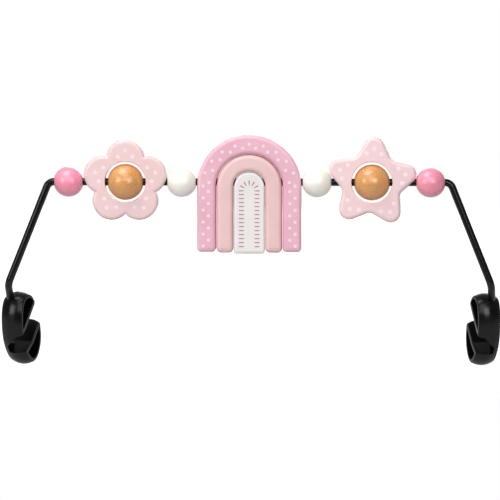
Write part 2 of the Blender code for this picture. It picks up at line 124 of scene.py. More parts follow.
# %% Node helpers
# What a group that describes a surface puts out
SKIN = ("Colour", "Roughness", "Height")
ORIGIN = (0.0, 0.0, 0.0)
GREY = (0.5, 0.5, 0.5, 1.0)
WHITE = (1.0, 1.0, 1.0, 1.0)


def feed(tree, socket, value):
    """Gives an input a plain value, or wires another node's output to it."""
    if isinstance(value, bpy.types.NodeSocket):
        tree.links.new(value, socket)
    else:
        socket.default_value = value


def wire(tree, kind, inputs=None, **settings):
    """Adds a node with its settings and feeds its inputs."""
    node = tree.nodes.new(kind)
    for name, value in settings.items():
        setattr(node, name, value)
    for key, value in (inputs or {}).items():
        feed(tree, node.inputs[key], value)
    return node


def new_group(name, inputs, outputs):
    """An empty node group and its two ends. What kind an input is follows from its default."""
    group = bpy.data.node_groups.new(name, "ShaderNodeTree")
    for key, value in inputs.items():
        kind = "Float" if isinstance(value, float) else {3: "Vector", 4: "Color"}[len(value)]
        socket = group.interface.new_socket(key, in_out="INPUT", socket_type="NodeSocket" + kind)
        socket.default_value = value
    for key in outputs:
        kind = "Color" if key == "Colour" else "Float"
        group.interface.new_socket(key, in_out="OUTPUT", socket_type="NodeSocket" + kind)
    return group, group.nodes.new("NodeGroupInput").outputs, group.nodes.new("NodeGroupOutput").inputs


def use_group(tree, group, inputs):
    """Places a node group in a material with this material's values."""
    return wire(tree, "ShaderNodeGroup", inputs, node_tree=group).outputs


def new_material(name):
    """A material and its node tree."""
    material = bpy.data.materials.new(name)
    material.use_nodes = True
    return material, material.node_tree


print("a skin's outputs:", SKIN)

# %% Number and colour helpers
def calc(tree, operation, *values):
    """One arithmetic step on values or outputs."""
    return wire(tree, "ShaderNodeMath", dict(enumerate(values)), operation=operation).outputs[0]


def fade(tree, value, low, high, start=0.0, end=1.0):
    """A soft step: start below low, end above high."""
    inputs = {"Value": value, "From Min": low, "From Max": high, "To Min": start, "To Max": end}
    return wire(tree, "ShaderNodeMapRange", inputs, interpolation_type="SMOOTHSTEP").outputs[0]


def noise(tree, vector, scale, detail, roughness=0.5):
    """Soft random values about one half."""
    inputs = {"Vector": vector, "Scale": scale, "Detail": detail, "Roughness": roughness}
    return wire(tree, "ShaderNodeTexNoise", inputs).outputs[0]


def mapped(tree, vector, **mapping):
    """A vector that is moved by a Location or stretched by a Scale."""
    return wire(tree, "ShaderNodeMapping", {"Vector": vector, **mapping}).outputs[0]


def shade(tree, colour, saturation, value):
    """A colour made richer or greyer, lighter or darker."""
    inputs = {"Saturation": saturation, "Value": value, "Color": colour}
    return wire(tree, "ShaderNodeHueSaturation", inputs).outputs[0]


def blend_colours(tree, share, first, second):
    """The first colour where the share is 0, the second where it is 1."""
    node = wire(tree, "ShaderNodeMix", data_type="RGBA")
    for key, value in (("Factor_Float", share), ("A_Color", first), ("B_Color", second)):
        feed(tree, next(s for s in node.inputs if s.identifier == key), value)
    return next(s for s in node.outputs if s.identifier == "Result_Color")


def tone(red, green, blue):
    """A colour as a paint card gives it, from 0 to 255, turned into the linear light that shaders use."""
    shares = [value / 255 for value in (red, green, blue)]
    return (*(s / 12.92 if s <= 0.04045 else ((s + 0.055) / 1.055) ** 2.4 for s in shares), 1.0)


print("half grey in linear light:", round(tone(128, 128, 128)[0], 3))

# %% [markdown]
# ## A white studio
#
# The bar stands on a grey floor. The floor is lit like everything else and keeps the bar's shadow, and it
# glows for the camera, and half as much in reflections. That lifts it to white without any more light on
# the toys. Past its edges the camera sees a white sky, also from behind. The floor ends a quarter of a
# metre in front of the bar, and the room beyond is dim, so black gloss stays black and the toys are darker
# underneath.

# %% Floor
FLOOR_HALF_WIDTH = 4.0
FLOOR_FRONT = 0.3
FLOOR_BACK = 4.0
FLOOR_GAP = 0.2 * MM
FLOOR_LEVEL = cad_box[0][2] - FLOOR_GAP
FLOOR_GREY = (0.4, 0.4, 0.4, 1.0)
FLOOR_GLOW = 0.9
MIRRORED_SHARE = 0.5
MERGE = 0.001 * MM


def floor_material():
    """Matt grey that glows for the camera, and less where it is mirrored."""
    material, tree = new_material("studio_floor")
    tree.nodes.clear()
    path = wire(tree, "ShaderNodeLightPath").outputs
    mirrored = calc(tree, "MULTIPLY", path["Is Glossy Ray"], MIRRORED_SHARE)
    seen = calc(tree, "MAXIMUM", path["Is Camera Ray"], mirrored)
    strength = calc(tree, "MULTIPLY", seen, FLOOR_GLOW)
    matt = wire(tree, "ShaderNodeBsdfDiffuse", {"Color": FLOOR_GREY})
    glow = wire(tree, "ShaderNodeEmission", {"Color": WHITE, "Strength": strength})
    both = wire(tree, "ShaderNodeAddShader", {0: matt.outputs[0], 1: glow.outputs[0]})
    wire(tree, "ShaderNodeOutputMaterial", {"Surface": both.outputs[0]})
    return material


def as_object(name, bm):
    """A mesh object at the origin, with its doubles merged and its faces pointing out."""
    bmesh.ops.remove_doubles(bm, verts=bm.verts, dist=MERGE)
    bmesh.ops.recalc_face_normals(bm, faces=bm.faces)
    mesh = bpy.data.meshes.new(name)
    bm.to_mesh(mesh)
    bm.free()
    return add_object(name, mesh)


def add_floor():
    """One flat face under the bar, far out to the sides and to the back."""
    middle = Matrix.Translation((0, (FLOOR_BACK - FLOOR_FRONT) / 2, FLOOR_LEVEL))
    size = Matrix.Diagonal((FLOOR_HALF_WIDTH, (FLOOR_BACK + FLOOR_FRONT) / 2, 1, 1))
    bm = bmesh.new()
    bmesh.ops.create_grid(bm, x_segments=1, y_segments=1, size=1.0, matrix=middle @ size)
    sheet = as_object("studio_floor", bm)
    sheet.data.materials.append(floor_material())


add_floor()
print("floor at z", round(FLOOR_LEVEL, 4))

# %% World and lamps
SKY_FRONT = 0.08
SKY_BACK = 0.35
# Each softbox: its name, its place, the length of its side, and its power in watts
LAMPS = (
    ("left_softbox", (-1.15, -1.05, 0.5), 0.65, 8.0),
    ("right_softbox", (0.6, -1.35, 0.5), 0.6, 7.0),
    ("front_softbox", (0.0, -2.3, 1.35), 1.5, 19.0),
    ("top_softbox", (-0.4, -0.4, 1.38), 0.85, 12.3),
    ("back_softbox", (0.3, 2.2, 0.75), 1.5, 20.0),
)


def light_world():
    """Dim in front of the bar, brighter behind it, and white where the camera looks past the floor."""
    world = bpy.data.worlds.new("studio")
    bpy.context.scene.world = world
    world.use_nodes = True
    tree = world.node_tree
    tree.nodes.clear()
    direction = wire(tree, "ShaderNodeTexCoord").outputs["Generated"]
    depth = wire(tree, "ShaderNodeSeparateXYZ", {0: direction}).outputs["Y"]
    level = fade(tree, depth, -1.0, 1.0, SKY_FRONT, SKY_BACK)
    camera_ray = wire(tree, "ShaderNodeLightPath").outputs["Is Camera Ray"]
    strength = calc(tree, "MAXIMUM", level, camera_ray)
    background = wire(tree, "ShaderNodeBackground", {"Color": WHITE, "Strength": strength})
    wire(tree, "ShaderNodeOutputWorld", {"Surface": background.outputs[0]})


def add_lamp(name, place, size, power):
    """A square softbox that looks at the middle of the bar."""
    data = bpy.data.lights.new(name, "AREA")
    data.size = size
    data.energy = power
    face_bar(add_object(name, data), place)


light_world()
for lamp in LAMPS:
    add_lamp(*lamp)
bpy.context.scene.view_settings.view_transform = "Standard"
print("lamps:", [lamp[0] for lamp in LAMPS])

# %% [markdown]
# ## From a bmesh to a finished piece
#
# Every piece below is drawn about its own pivot, then moved to it inside the mesh, so that its object stays
# at the origin and a pattern on object coordinates stays with it. A finished piece rides on its joint's
# body and stands for its solid. A shaped board gets its hole for the rod from a Boolean modifier that is
# then applied.

# %% Finishing helpers
ROD_DIAMETER = 8.0 * MM
RUNNING_CLEARANCE = 0.8 * MM
BORE_RADIUS = ROD_DIAMETER / 2 + RUNNING_CLEARANCE
BORE_SIDES = 48
CUT_OVERRUN = 5.0 * MM
SMOOTH_ANGLE = math.radians(38.0)


def cut(piece, cutter):
    """Takes the cutter's shape out of the piece for good, and throws the cutter away."""
    modifier = piece.modifiers.new("cut", "BOOLEAN")
    modifier.operation = "DIFFERENCE"
    modifier.solver = "MANIFOLD"
    modifier.object = cutter
    bpy.context.view_layer.update()
    evaluated = piece.evaluated_get(bpy.context.evaluated_depsgraph_get())
    mesh = bpy.data.meshes.new_from_object(evaluated)
    piece.modifiers.clear()
    piece.data = mesh
    bpy.data.objects.remove(cutter)


def cylinder(radius, depth, place):
    """A closed cylinder along the place's Z axis."""
    bm = bmesh.new()
    bmesh.ops.create_cone(
        bm, cap_ends=True, segments=BORE_SIDES, radius1=radius, radius2=radius, depth=depth, matrix=place
    )
    return as_object("cylinder", bm)


def bore_for_rod(piece, reach):
    """Drills the rod's hole along X through a board that stands about its pivot."""
    drill = cylinder(BORE_RADIUS, 2 * (reach + CUT_OVERRUN), Matrix.Rotation(math.pi / 2, 4, "Y"))
    cut(piece, drill)


def finish(piece, place, node, material, body=None):
    """Moves the mesh to its place, smooths it, and lets the piece ride on its body in its solid's stead."""
    piece.data.transform(place)
    piece.data.shade_smooth()
    piece.data.set_sharp_from_angle(angle=SMOOTH_ANGLE)
    piece.data.materials.clear()
    piece.data.materials.append(material)
    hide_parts(node)
    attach(piece, body or node)
    print(piece.name, "has", len(piece.data.polygons), "faces")


print("bore radius", round(BORE_RADIUS / MM, 2), "mm")

# %% [markdown]
# ## Printed dots and dashes
#
# The dots on the rainbow, the flower and the star sit at even steps along a ring or a line. A shader can
# find the nearest dot by rounding: the angle, or the height, divided by the step and rounded gives that
# dot's place, and the distance to it gives a crisp round mask. Dashes are found in the same way, with a box
# in place of a circle.

# %% Steps of a print
PRINT_SOFTNESS = 0.16 * MM


def nearest_step(tree, value, step, shift):
    """The multiple of the step, plus the shift, that lies nearest to the value."""
    count = calc(tree, "ROUND", calc(tree, "DIVIDE", calc(tree, "SUBTRACT", value, shift), step))
    return calc(tree, "MULTIPLY_ADD", count, step, shift)


def distance(tree, across, up, spot_across=0.0, spot_up=0.0):
    """How far a point in the board's plane lies from a spot."""
    a = calc(tree, "SUBTRACT", across, spot_across)
    b = calc(tree, "SUBTRACT", up, spot_up)
    return calc(tree, "SQRT", calc(tree, "MULTIPLY_ADD", a, a, calc(tree, "MULTIPLY", b, b)))


def disc(tree, away, radius):
    """1 inside the radius, 0 outside, with the slightly soft edge of a print."""
    inner = calc(tree, "SUBTRACT", radius, PRINT_SOFTNESS)
    outer = calc(tree, "ADD", radius, PRINT_SOFTNESS)
    return fade(tree, away, inner, outer, 1.0, 0.0)


def either(tree, is_first, first, second):
    """The first mask where the switch is 1, the second where it is 0."""
    rest = calc(tree, "MULTIPLY", second, calc(tree, "SUBTRACT", 1.0, is_first))
    return calc(tree, "MULTIPLY_ADD", first, is_first, rest)


print("soft edge", round(PRINT_SOFTNESS / MM, 2), "mm")

# %% Dot and dash groups
def ring_of_dots():
    """Dots at even angles on a ring, which may be a little flattened."""
    names = ("Across", "Up", "Ring Radius", "Flattening", "Step", "Shift", "Dot Radius")
    group, given, result = new_group("ring_of_dots", dict.fromkeys(names, 0.0), ["Mask"])
    raised = calc(group, "DIVIDE", given["Up"], given["Flattening"])
    turned = calc(group, "ARCTAN2", given["Across"], raised)
    angle = nearest_step(group, turned, given["Step"], given["Shift"])
    spot_across = calc(group, "MULTIPLY", given["Ring Radius"], calc(group, "SINE", angle))
    height = calc(group, "MULTIPLY", given["Ring Radius"], given["Flattening"])
    spot_up = calc(group, "MULTIPLY", height, calc(group, "COSINE", angle))
    away = distance(group, given["Across"], given["Up"], spot_across, spot_up)
    group.links.new(disc(group, away, given["Dot Radius"]), result["Mask"])
    return group


def column_of_dots():
    """Dots at even heights in a column."""
    names = ("Across", "Up", "Column", "Step", "Shift", "Dot Radius")
    group, given, result = new_group("column_of_dots", dict.fromkeys(names, 0.0), ["Mask"])
    spot_up = nearest_step(group, given["Up"], given["Step"], given["Shift"])
    away = distance(group, given["Across"], given["Up"], given["Column"], spot_up)
    group.links.new(disc(group, away, given["Dot Radius"]), result["Mask"])
    return group


def dashes():
    """Short dashes across a path: Along runs with the path, Off is the distance from its middle line."""
    names = ("Along", "Off", "Step", "Shift", "Length", "Width")
    group, given, result = new_group("dashes", dict.fromkeys(names, 0.0), ["Mask"])
    nearest = nearest_step(group, given["Along"], given["Step"], given["Shift"])
    mask = 1.0
    for away, extent in (
        (calc(group, "SUBTRACT", given["Along"], nearest), given["Width"]),
        (given["Off"], given["Length"]),
    ):
        inside = disc(group, calc(group, "ABSOLUTE", away), calc(group, "MULTIPLY", extent, 0.5))
        mask = calc(group, "MULTIPLY", mask, inside)
    group.links.new(mask, result["Mask"])
    return group


RING_OF_DOTS = ring_of_dots()
COLUMN_OF_DOTS = column_of_dots()
DASHES = dashes()
print("groups:", RING_OF_DOTS.name, COLUMN_OF_DOTS.name, DASHES.name)

# %% [markdown]
# ## Painted wood
#
# Toy paint is sprayed in several thin coats. It levels almost flat, but the fibres still show through as
# faint lines, the tone drifts a little, and the coat is thinner and glossier round the edges. The group
# mixes these in and prints the ink on top, a hair thicker than the paint.

# %% Painted wood group
FIBRE_SCALE = (55.0, 900.0, 900.0)
DRIFT_SCALE = 38.0
SPECK_SCALE = 1500.0
# Each of these: the colour's saturation and value
DEEPER_PAINT = (1.06, 0.955)
THINNER_PAINT = (0.9, 1.03)
FIBRE_LINES = (1.03, 0.965)
# Each of these: from which noise value to which it changes, and from what to what
DEEPENING = (0.35, 0.68)
THINNING = (0.4, 0.65, 0.25, 0.8)
LINING = (0.5, 0.72)
INK_COVER = (0.2, 0.45, 0.88, 1.0)
UNEVEN_COAT = (0.3, 0.7, -0.03, 0.04)
MATT_ROUGHNESS = 0.62
GLOSS_SPAN = 0.42
EDGE_GLOSS = 0.04
INK_GLOSS = 0.05
SPECK_HEIGHT = 0.12
INK_HEIGHT = 0.8


def painted_wood():
    """Colour, roughness and height of a sprayed coat with a print on it."""
    inputs = {
        "Vector": ORIGIN, "Paint": GREY, "Ink": GREY,
        "Ink Mask": 0.0, "Edge": 0.0, "Fibres": 0.0, "Gloss": 0.0,
    }
    group, given, result = new_group("painted_wood", inputs, SKIN)
    paint, mask, edge = given["Paint"], given["Ink Mask"], given["Edge"]
    fibres = noise(group, mapped(group, given["Vector"], Scale=FIBRE_SCALE), 1.0, detail=3.0, roughness=0.6)
    drift = noise(group, given["Vector"], DRIFT_SCALE, detail=2.0)
    specks = noise(group, given["Vector"], SPECK_SCALE, detail=1.0)

    deep = shade(group, paint, *DEEPER_PAINT)
    toned = blend_colours(group, fade(group, drift, *DEEPENING), paint, deep)
    thin_share = calc(group, "MULTIPLY", edge, fade(group, fibres, *THINNING))
    edged = blend_colours(group, thin_share, toned, shade(group, toned, *THINNER_PAINT))
    line_share = calc(group, "MULTIPLY", fade(group, fibres, *LINING), given["Fibres"])
    grained = blend_colours(group, line_share, edged, shade(group, edged, *FIBRE_LINES))
    ink_share = calc(group, "MULTIPLY", mask, fade(group, specks, *INK_COVER))
    group.links.new(blend_colours(group, ink_share, grained, given["Ink"]), result["Colour"])

    roughness = calc(group, "ADD", MATT_ROUGHNESS, fade(group, drift, *UNEVEN_COAT))
    for share, amount in ((given["Gloss"], GLOSS_SPAN), (edge, EDGE_GLOSS), (mask, INK_GLOSS)):
        roughness = calc(group, "SUBTRACT", roughness, calc(group, "MULTIPLY", share, amount))
    group.links.new(roughness, result["Roughness"])

    height = calc(group, "MULTIPLY", fibres, given["Fibres"])
    for share, amount in ((specks, SPECK_HEIGHT), (mask, INK_HEIGHT)):
        height = calc(group, "MULTIPLY_ADD", share, amount, height)
    group.links.new(height, result["Height"])
    return group


PAINTED_WOOD = painted_wood()
print("group", PAINTED_WOOD.name)

# %% Painted material
PAINT_RELIEF = (0.6, 0.035 * MM)
PAINT_COAT = (0.15, 0.32)
FACE_START = 0.86
FACE_END = 0.99


def wear_skin(tree, skin, colour, relief, coat):
    """Wires a skin to the shader. Relief is a bump's strength and height, coat a weight and a roughness."""
    bump_inputs = {"Strength": relief[0], "Distance": relief[1], "Height": skin["Height"]}
    bump = wire(tree, "ShaderNodeBump", bump_inputs)
    inputs = {
        "Base Color": colour, "Roughness": skin["Roughness"], "Normal": bump.outputs[0],
        "Coat Weight": coat[0], "Coat Roughness": coat[1],
    }
    for key, value in inputs.items():
        feed(tree, tree.nodes["Principled BSDF"].inputs[key], value)


def board_coordinates(tree, pivot):
    """Object coordinates about the board's pivot, their X and Z, and 1 on the board's two flat faces."""
    coordinates = wire(tree, "ShaderNodeTexCoord").outputs
    vector = mapped(tree, coordinates["Object"], Location=-pivot)
    split = wire(tree, "ShaderNodeSeparateXYZ", {0: vector}).outputs
    facing = wire(tree, "ShaderNodeSeparateXYZ", {0: coordinates["Normal"]}).outputs["Y"]
    face = fade(tree, calc(tree, "ABSOLUTE", facing), FACE_START, FACE_END)
    return vector, split["X"], split["Z"], face


def painted_material(name, pivot, paint, ink, fibres, gloss, coat=PAINT_COAT, pattern=None, gap_light_and_shade=None):
    """Sprayed paint on wood, with a pattern printed on both faces and painted light and shade near gap walls.
    """
    material, tree = new_material(name)
    vector, across, up, face = board_coordinates(tree, pivot)
    inputs = {"Vector": vector, "Paint": paint, "Ink": ink, "Fibres": fibres, "Gloss": gloss}
    if pattern:
        inputs["Ink Mask"] = calc(tree, "MULTIPLY", pattern(tree, across, up), face)
        inputs["Edge"] = calc(tree, "SUBTRACT", 1.0, face)
    skin = use_group(tree, PAINTED_WOOD, inputs)
    # Painted light and shade near a gap's walls, where the board has a gap
    colour = gap_light_and_shade(tree, skin["Colour"], across, up) if gap_light_and_shade else skin["Colour"]
    wear_skin(tree, skin, colour, PAINT_RELIEF, coat)
    return material


print("paint bump", round(PAINT_RELIEF[1] / MM, 3), "mm")

# %% [markdown]
# ## Clear-finished beech
#
# The two large balls are bare wood under a clear coat. Beech has close growth rings, fine fibres and many
# short dark flecks. The ball is turned from a stick whose grain runs along the rod, so the rings are shells
# about a line that runs beside the ball, and they cross its front as gently bent level lines.

# %% Beech group
RING_SPACING = 2.2 * MM
SWAY_SCALE = 26.0
SWAY_REACH = 6.5 * MM
BEECH_FIBRE_SCALE = (70.0, 1400.0, 1400.0)
FLECK_SCALE = (420.0, 1500.0, 1500.0)
PATCH_SCALE = 55.0
# Each of these: from which value to which it changes, and from what to what
LATE_WOOD = (0.25, 0.95)
RING_STRENGTH = (0.35, 0.65, 0.05, 0.6)
STREAKS = (0.42, 0.7, 0.0, 0.55)
FLECKS = (0.16, 0.3, 0.55, 0.0)
WOOD_ROUGHNESS = (0.3, 0.7, 0.30, 0.38)
FLECK_DEPTH = 0.5


def beech():
    """Colour, roughness and height of planed beech, its grain along X."""
    inputs = {"Vector": ORIGIN, "Light": GREY, "Dark": GREY, "Fleck": GREY}
    group, given, result = new_group("beech", inputs, SKIN)
    vector = given["Vector"]
    sway_inputs = {"Vector": vector, "Scale": SWAY_SCALE, "Detail": 2.0}
    sway = wire(group, "ShaderNodeTexNoise", sway_inputs).outputs["Color"]
    swayed = wire(group, "ShaderNodeVectorMath", {0: sway, "Scale": SWAY_REACH}, operation="SCALE").outputs[0]
    bent = wire(group, "ShaderNodeVectorMath", {0: vector, 1: swayed}, operation="ADD").outputs[0]
    split = wire(group, "ShaderNodeSeparateXYZ", {0: bent}).outputs
    reach = distance(group, split["Y"], split["Z"])
    late_wood = fade(group, calc(group, "FRACT", calc(group, "DIVIDE", reach, RING_SPACING)), *LATE_WOOD)
    patches = noise(group, vector, PATCH_SCALE, detail=3.0)
    fibres = noise(group, mapped(group, vector, Scale=BEECH_FIBRE_SCALE), 1.0, detail=4.0, roughness=0.65)
    fleck_inputs = {"Vector": mapped(group, vector, Scale=FLECK_SCALE), "Scale": 1.0}
    fleck_share = fade(group, wire(group, "ShaderNodeTexVoronoi", fleck_inputs).outputs[0], *FLECKS)

    ring_share = calc(group, "MULTIPLY", late_wood, fade(group, patches, *RING_STRENGTH))
    ringed = blend_colours(group, ring_share, given["Light"], given["Dark"])
    streaked = blend_colours(group, fade(group, fibres, *STREAKS), ringed, given["Dark"])
    group.links.new(blend_colours(group, fleck_share, streaked, given["Fleck"]), result["Colour"])
    group.links.new(fade(group, fibres, *WOOD_ROUGHNESS), result["Roughness"])
    sunk = calc(group, "SUBTRACT", fibres, calc(group, "MULTIPLY", fleck_share, FLECK_DEPTH))
    group.links.new(sunk, result["Height"])
    return group


BEECH = beech()
print("group", BEECH.name)

# %% Beech material
WOOD_RELIEF = (0.5, 0.02 * MM)
WOOD_COAT = (0.65, 0.24)
HEART_OFFSET = Vector((0.0, 31.0 * MM, -24.0 * MM))
BEECH_COLOURS = {"Light": tone(226, 163, 97), "Dark": tone(195, 130, 66), "Fleck": tone(160, 100, 52)}


def beech_material(name, pivot, turn):
    """Beech under a clear coat. The heart of the tree lies beside the ball, turned about the rod."""
    material, tree = new_material(name)
    heart = pivot + Matrix.Rotation(turn, 3, "X") @ HEART_OFFSET
    vector = mapped(tree, wire(tree, "ShaderNodeTexCoord").outputs["Object"], Location=-heart)
    skin = use_group(tree, BEECH, {"Vector": vector, **BEECH_COLOURS})
    wear_skin(tree, skin, skin["Colour"], WOOD_RELIEF, WOOD_COAT)
    return material


print("wood bump", round(WOOD_RELIEF[1] / MM, 3), "mm")

# %% [markdown]
# ## The beads and the balls
#
# A bead is a body of revolution about the rod. One vertex at the mouth of the bore is spun over the top to
# the other mouth, an edge along the bore closes the profile, and the profile is spun round the rod. The
# sharp mouths are then broken with a small bevel, as sandpaper would.

# %% Bmesh helpers
def pick(kind, made):
    """The vertices, or the edges, among what an operator made."""
    return [item for item in made if isinstance(item, kind)]


def turn_about(bm, geom, centre, axis, angle, steps, **options):
    """Spins vertices and edges about an axis through the centre, and returns their last copy."""
    made = bmesh.ops.spin(bm, geom=geom, cent=centre, axis=axis, angle=angle, steps=steps, **options)
    return made["geom_last"]


def round_edges(bm, edges, offset, steps):
    """Rounds edges with a bevel of so many steps."""
    bmesh.ops.bevel(bm, geom=edges, offset=offset, segments=steps, profile=0.5, affect="EDGES", material=-1)


print("bmesh helpers ready")

# %% Turned balls
BEAD_DIAMETER = 32.0 * MM
BALL_DIAMETER = 38.5 * MM
PROFILE_STEPS = 44
TURNING_STEPS = 72
MOUTH_BREAK = 0.7 * MM
MOUTH_STEPS = 3


def turned_ball(name, diameter):
    """A bored ball about the origin, the bore along X."""
    radius = diameter / 2
    mouth = math.asin(BORE_RADIUS / radius)
    bm = bmesh.new()
    first = bm.verts.new((radius * math.cos(mouth), 0, radius * math.sin(mouth)))
    spun = turn_about(bm, [first], ORIGIN, (0, -1, 0), math.pi - 2 * mouth, PROFILE_STEPS)
    bm.edges.new((first, pick(bmesh.types.BMVert, spun)[0]))
    profile = bm.verts[:] + bm.edges[:]
    turn_about(bm, profile, ORIGIN, (1, 0, 0), math.tau, TURNING_STEPS, use_merge=True)
    bmesh.ops.recalc_face_normals(bm, faces=bm.faces)
    mouths = [edge for edge in bm.edges if edge.calc_face_angle(0.0) > SMOOTH_ANGLE]
    round_edges(bm, mouths, MOUTH_BREAK, MOUTH_STEPS)
    return as_object(name, bm)


print("a bead's bore is", round(2 * BORE_RADIUS / MM, 1), "mm wide")

# %% Beads and balls in place
PINK = tone(248, 156, 178)
IVORY = tone(250, 247, 238)
BEAD_PAINT = {"fibres": 0.25, "gloss": 0.75, "coat": (0.6, 0.28)}
STAR_BALL_TURN = math.radians(150.0)

for node, paint, slot in (
    ("left_pink_bead", PINK, "pink_paint"),
    ("right_pink_bead", PINK, "pink_paint"),
    ("left_white_bead", IVORY, "warm_white_paint"),
    ("right_white_bead", IVORY, "warm_white_paint"),
):
    lacquer = painted_material(node + "_lacquer", pivots[node], paint, paint, **BEAD_PAINT)
    bead = turned_ball(node + "_turned", BEAD_DIAMETER)
    finish(bead, Matrix.Translation(pivots[node]), node, lacquer)
for node, turn in (("flower_ball", 0.0), ("star_ball", STAR_BALL_TURN)):
    wood = beech_material(node + "_beech", pivots[node], turn)
    ball = turned_ball(node + "_turned", BALL_DIAMETER)
    finish(ball, Matrix.Translation(pivots[node]), node, wood)

# %% [markdown]
# ## From an outline to a soft board
#
# Flower, star and arches are sawn from thick board and then rounded over with a router. The outline is
# drawn with vertices that are spun and extruded, filled, extruded to the board's thickness and bevelled
# with many segments. A narrow inset round each flat face keeps the faces flat when the board is shaded
# smooth.

# %% Outline helpers
def spin_point(bm, point, centre, angle, steps):
    """Carries a loose point round a centre in the board's plane and returns its last place."""
    axis = (0, 1 if angle > 0 else -1, 0)
    return pick(bmesh.types.BMVert, turn_about(bm, [point], centre, axis, abs(angle), steps))[0]


def draw_line(bm, point, end, steps):
    """Extrudes a loose point in a straight line to an end and returns it there."""
    stride = (Vector(end) - point.co) / steps
    for _ in range(steps):
        made = bmesh.ops.extrude_vert_indiv(bm, verts=[point])["verts"]
        bmesh.ops.translate(bm, verts=made, vec=stride)
        point = made[0]
    return point


def repeat_round_hole(bm, count, hole_radius):
    """Repeats one arm's outline about the origin, and fills up to a round hole, bridged point by point."""
    turn_about(bm, bm.verts[:] + bm.edges[:], ORIGIN, (0, 1, 0), math.tau, count, use_duplicate=True)
    bmesh.ops.remove_doubles(bm, verts=bm.verts, dist=MERGE)
    across = Matrix.Rotation(math.pi / 2, 4, "X")
    print("outline of", len(bm.verts), "points")
    bmesh.ops.create_circle(bm, segments=len(bm.verts), radius=hole_radius, matrix=across)
    bmesh.ops.bridge_loops(bm, edges=bm.edges[:])


print("points merge below", round(MERGE / MM, 4), "mm")

# %% Board helpers
BOARD_THICKNESS = 15.5 * MM
SOFT_EDGE = 4.0 * MM
SOFT_STEPS = 8
HOLE_EDGE = 1.0 * MM
HOLE_STEPS = 3
RIM_ANGLE = math.radians(80.0)
FLAT_MARGIN = 0.5 * MM
LEVEL = 0.9999


def thicken(bm, thickness):
    """Extrudes the flat outline at y = 0 to a board about that plane."""
    bmesh.ops.translate(bm, verts=bm.verts, vec=(0, -thickness / 2, 0))
    made = bmesh.ops.extrude_face_region(bm, geom=bm.faces[:])["geom"]
    bmesh.ops.translate(bm, verts=pick(bmesh.types.BMVert, made), vec=(0, thickness, 0))
    bmesh.ops.recalc_face_normals(bm, faces=bm.faces)


def round_rims(bm, soft_edge, steps, hole_radius=0.0):
    """Rounds the outer rims with the soft edge, and breaks the rims of the hole."""
    rims = []
    hole_rims = []
    for edge in bm.edges:
        if edge.calc_face_angle(0.0) < RIM_ANGLE or abs(edge.verts[0].co.y - edge.verts[1].co.y) > MERGE:
            continue
        at_hole = edge.verts[0].co.xz.length < hole_radius + MERGE
        (hole_rims if at_hole else rims).append(edge)
    round_edges(bm, rims, soft_edge, steps)
    round_edges(bm, [edge for edge in hole_rims if edge.is_valid], HOLE_EDGE, HOLE_STEPS)
    for side in (-1, 1):
        flat = [face for face in bm.faces if face.normal.y * side > LEVEL]
        bmesh.ops.inset_region(bm, faces=flat, thickness=FLAT_MARGIN, use_even_offset=True)


print("boards", round(BOARD_THICKNESS / MM, 1), "mm thick")

# %% [markdown]
# ## The flower
#
# Five round petals, whose circles touch the flower's reach and meet in the notches. Two named sizes, the
# rim of wood outside the hole and how far a petal rises above its notches, give the petals' circles.

# %% Flower board
BALL_CLEARANCE = 2.5 * MM
HOLE_RADIUS = BALL_DIAMETER / 2 + BALL_CLEARANCE
PETALS = 5
FLOWER_RIM = 12.6 * MM
PETAL_RISE = 10.9 * MM
PETAL_STEPS = 30
FLOWER_NOTCH = HOLE_RADIUS + FLOWER_RIM
FLOWER_REACH = FLOWER_NOTCH + PETAL_RISE
HALF_PETAL = math.pi / PETALS
NOTCH_HEIGHT = FLOWER_NOTCH * math.cos(HALF_PETAL)
PETAL_CENTRE = (FLOWER_REACH**2 - FLOWER_NOTCH**2) / (2 * (FLOWER_REACH - NOTCH_HEIGHT))
PETAL_RADIUS = FLOWER_REACH - PETAL_CENTRE


def flower_board():
    """One petal's arc is spun from a vertex, repeated round the hole, and thickened."""
    sweep = math.pi / 2 + HALF_PETAL - math.acos(PETAL_CENTRE * math.sin(HALF_PETAL) / PETAL_RADIUS)
    bm = bmesh.new()
    start = (-PETAL_RADIUS * math.sin(sweep), 0, PETAL_CENTRE + PETAL_RADIUS * math.cos(sweep))
    spin_point(bm, bm.verts.new(start), (0, 0, PETAL_CENTRE), 2 * sweep, PETAL_STEPS)
    repeat_round_hole(bm, PETALS, HOLE_RADIUS)
    thicken(bm, BOARD_THICKNESS)
    round_rims(bm, SOFT_EDGE, SOFT_STEPS, HOLE_RADIUS)
    return bm


flower = as_object("flower_painted", flower_board())
bore_for_rod(flower, FLOWER_REACH)
print("petal radius", round(PETAL_RADIUS / MM, 1), "mm")

# %% Flower paint
FLOWER_DOT_RADIUS = 2.2 * MM
PETAL_TIP_DOT = 33.7 * MM
PETAL_SIDE_DOT = (7.8 * MM, 27.2 * MM)
SOFT_PINK = tone(236, 205, 205)
PALE_DOT = tone(244, 222, 226)
PALE_PAINT = {"fibres": 0.4, "gloss": 0.45}


def trio_of_dots(tip_reach, side_dot, count, turn, dot_radius):
    """A pattern with three dots on each arm: one towards the tip, and two nearer the hole."""
    side_reach = math.hypot(*side_dot)
    side_turn = math.atan2(*side_dot)
    rings = ((tip_reach, turn), (side_reach, turn + side_turn), (side_reach, turn - side_turn))

    def pattern(tree, across, up):
        mask = 0.0
        for reach, shift in rings:
            inputs = {
                "Across": across, "Up": up, "Ring Radius": reach, "Flattening": 1.0,
                "Step": math.tau / count, "Shift": shift, "Dot Radius": dot_radius,
            }
            mask = calc(tree, "MAXIMUM", mask, use_group(tree, RING_OF_DOTS, inputs)["Mask"])
        return mask

    return pattern


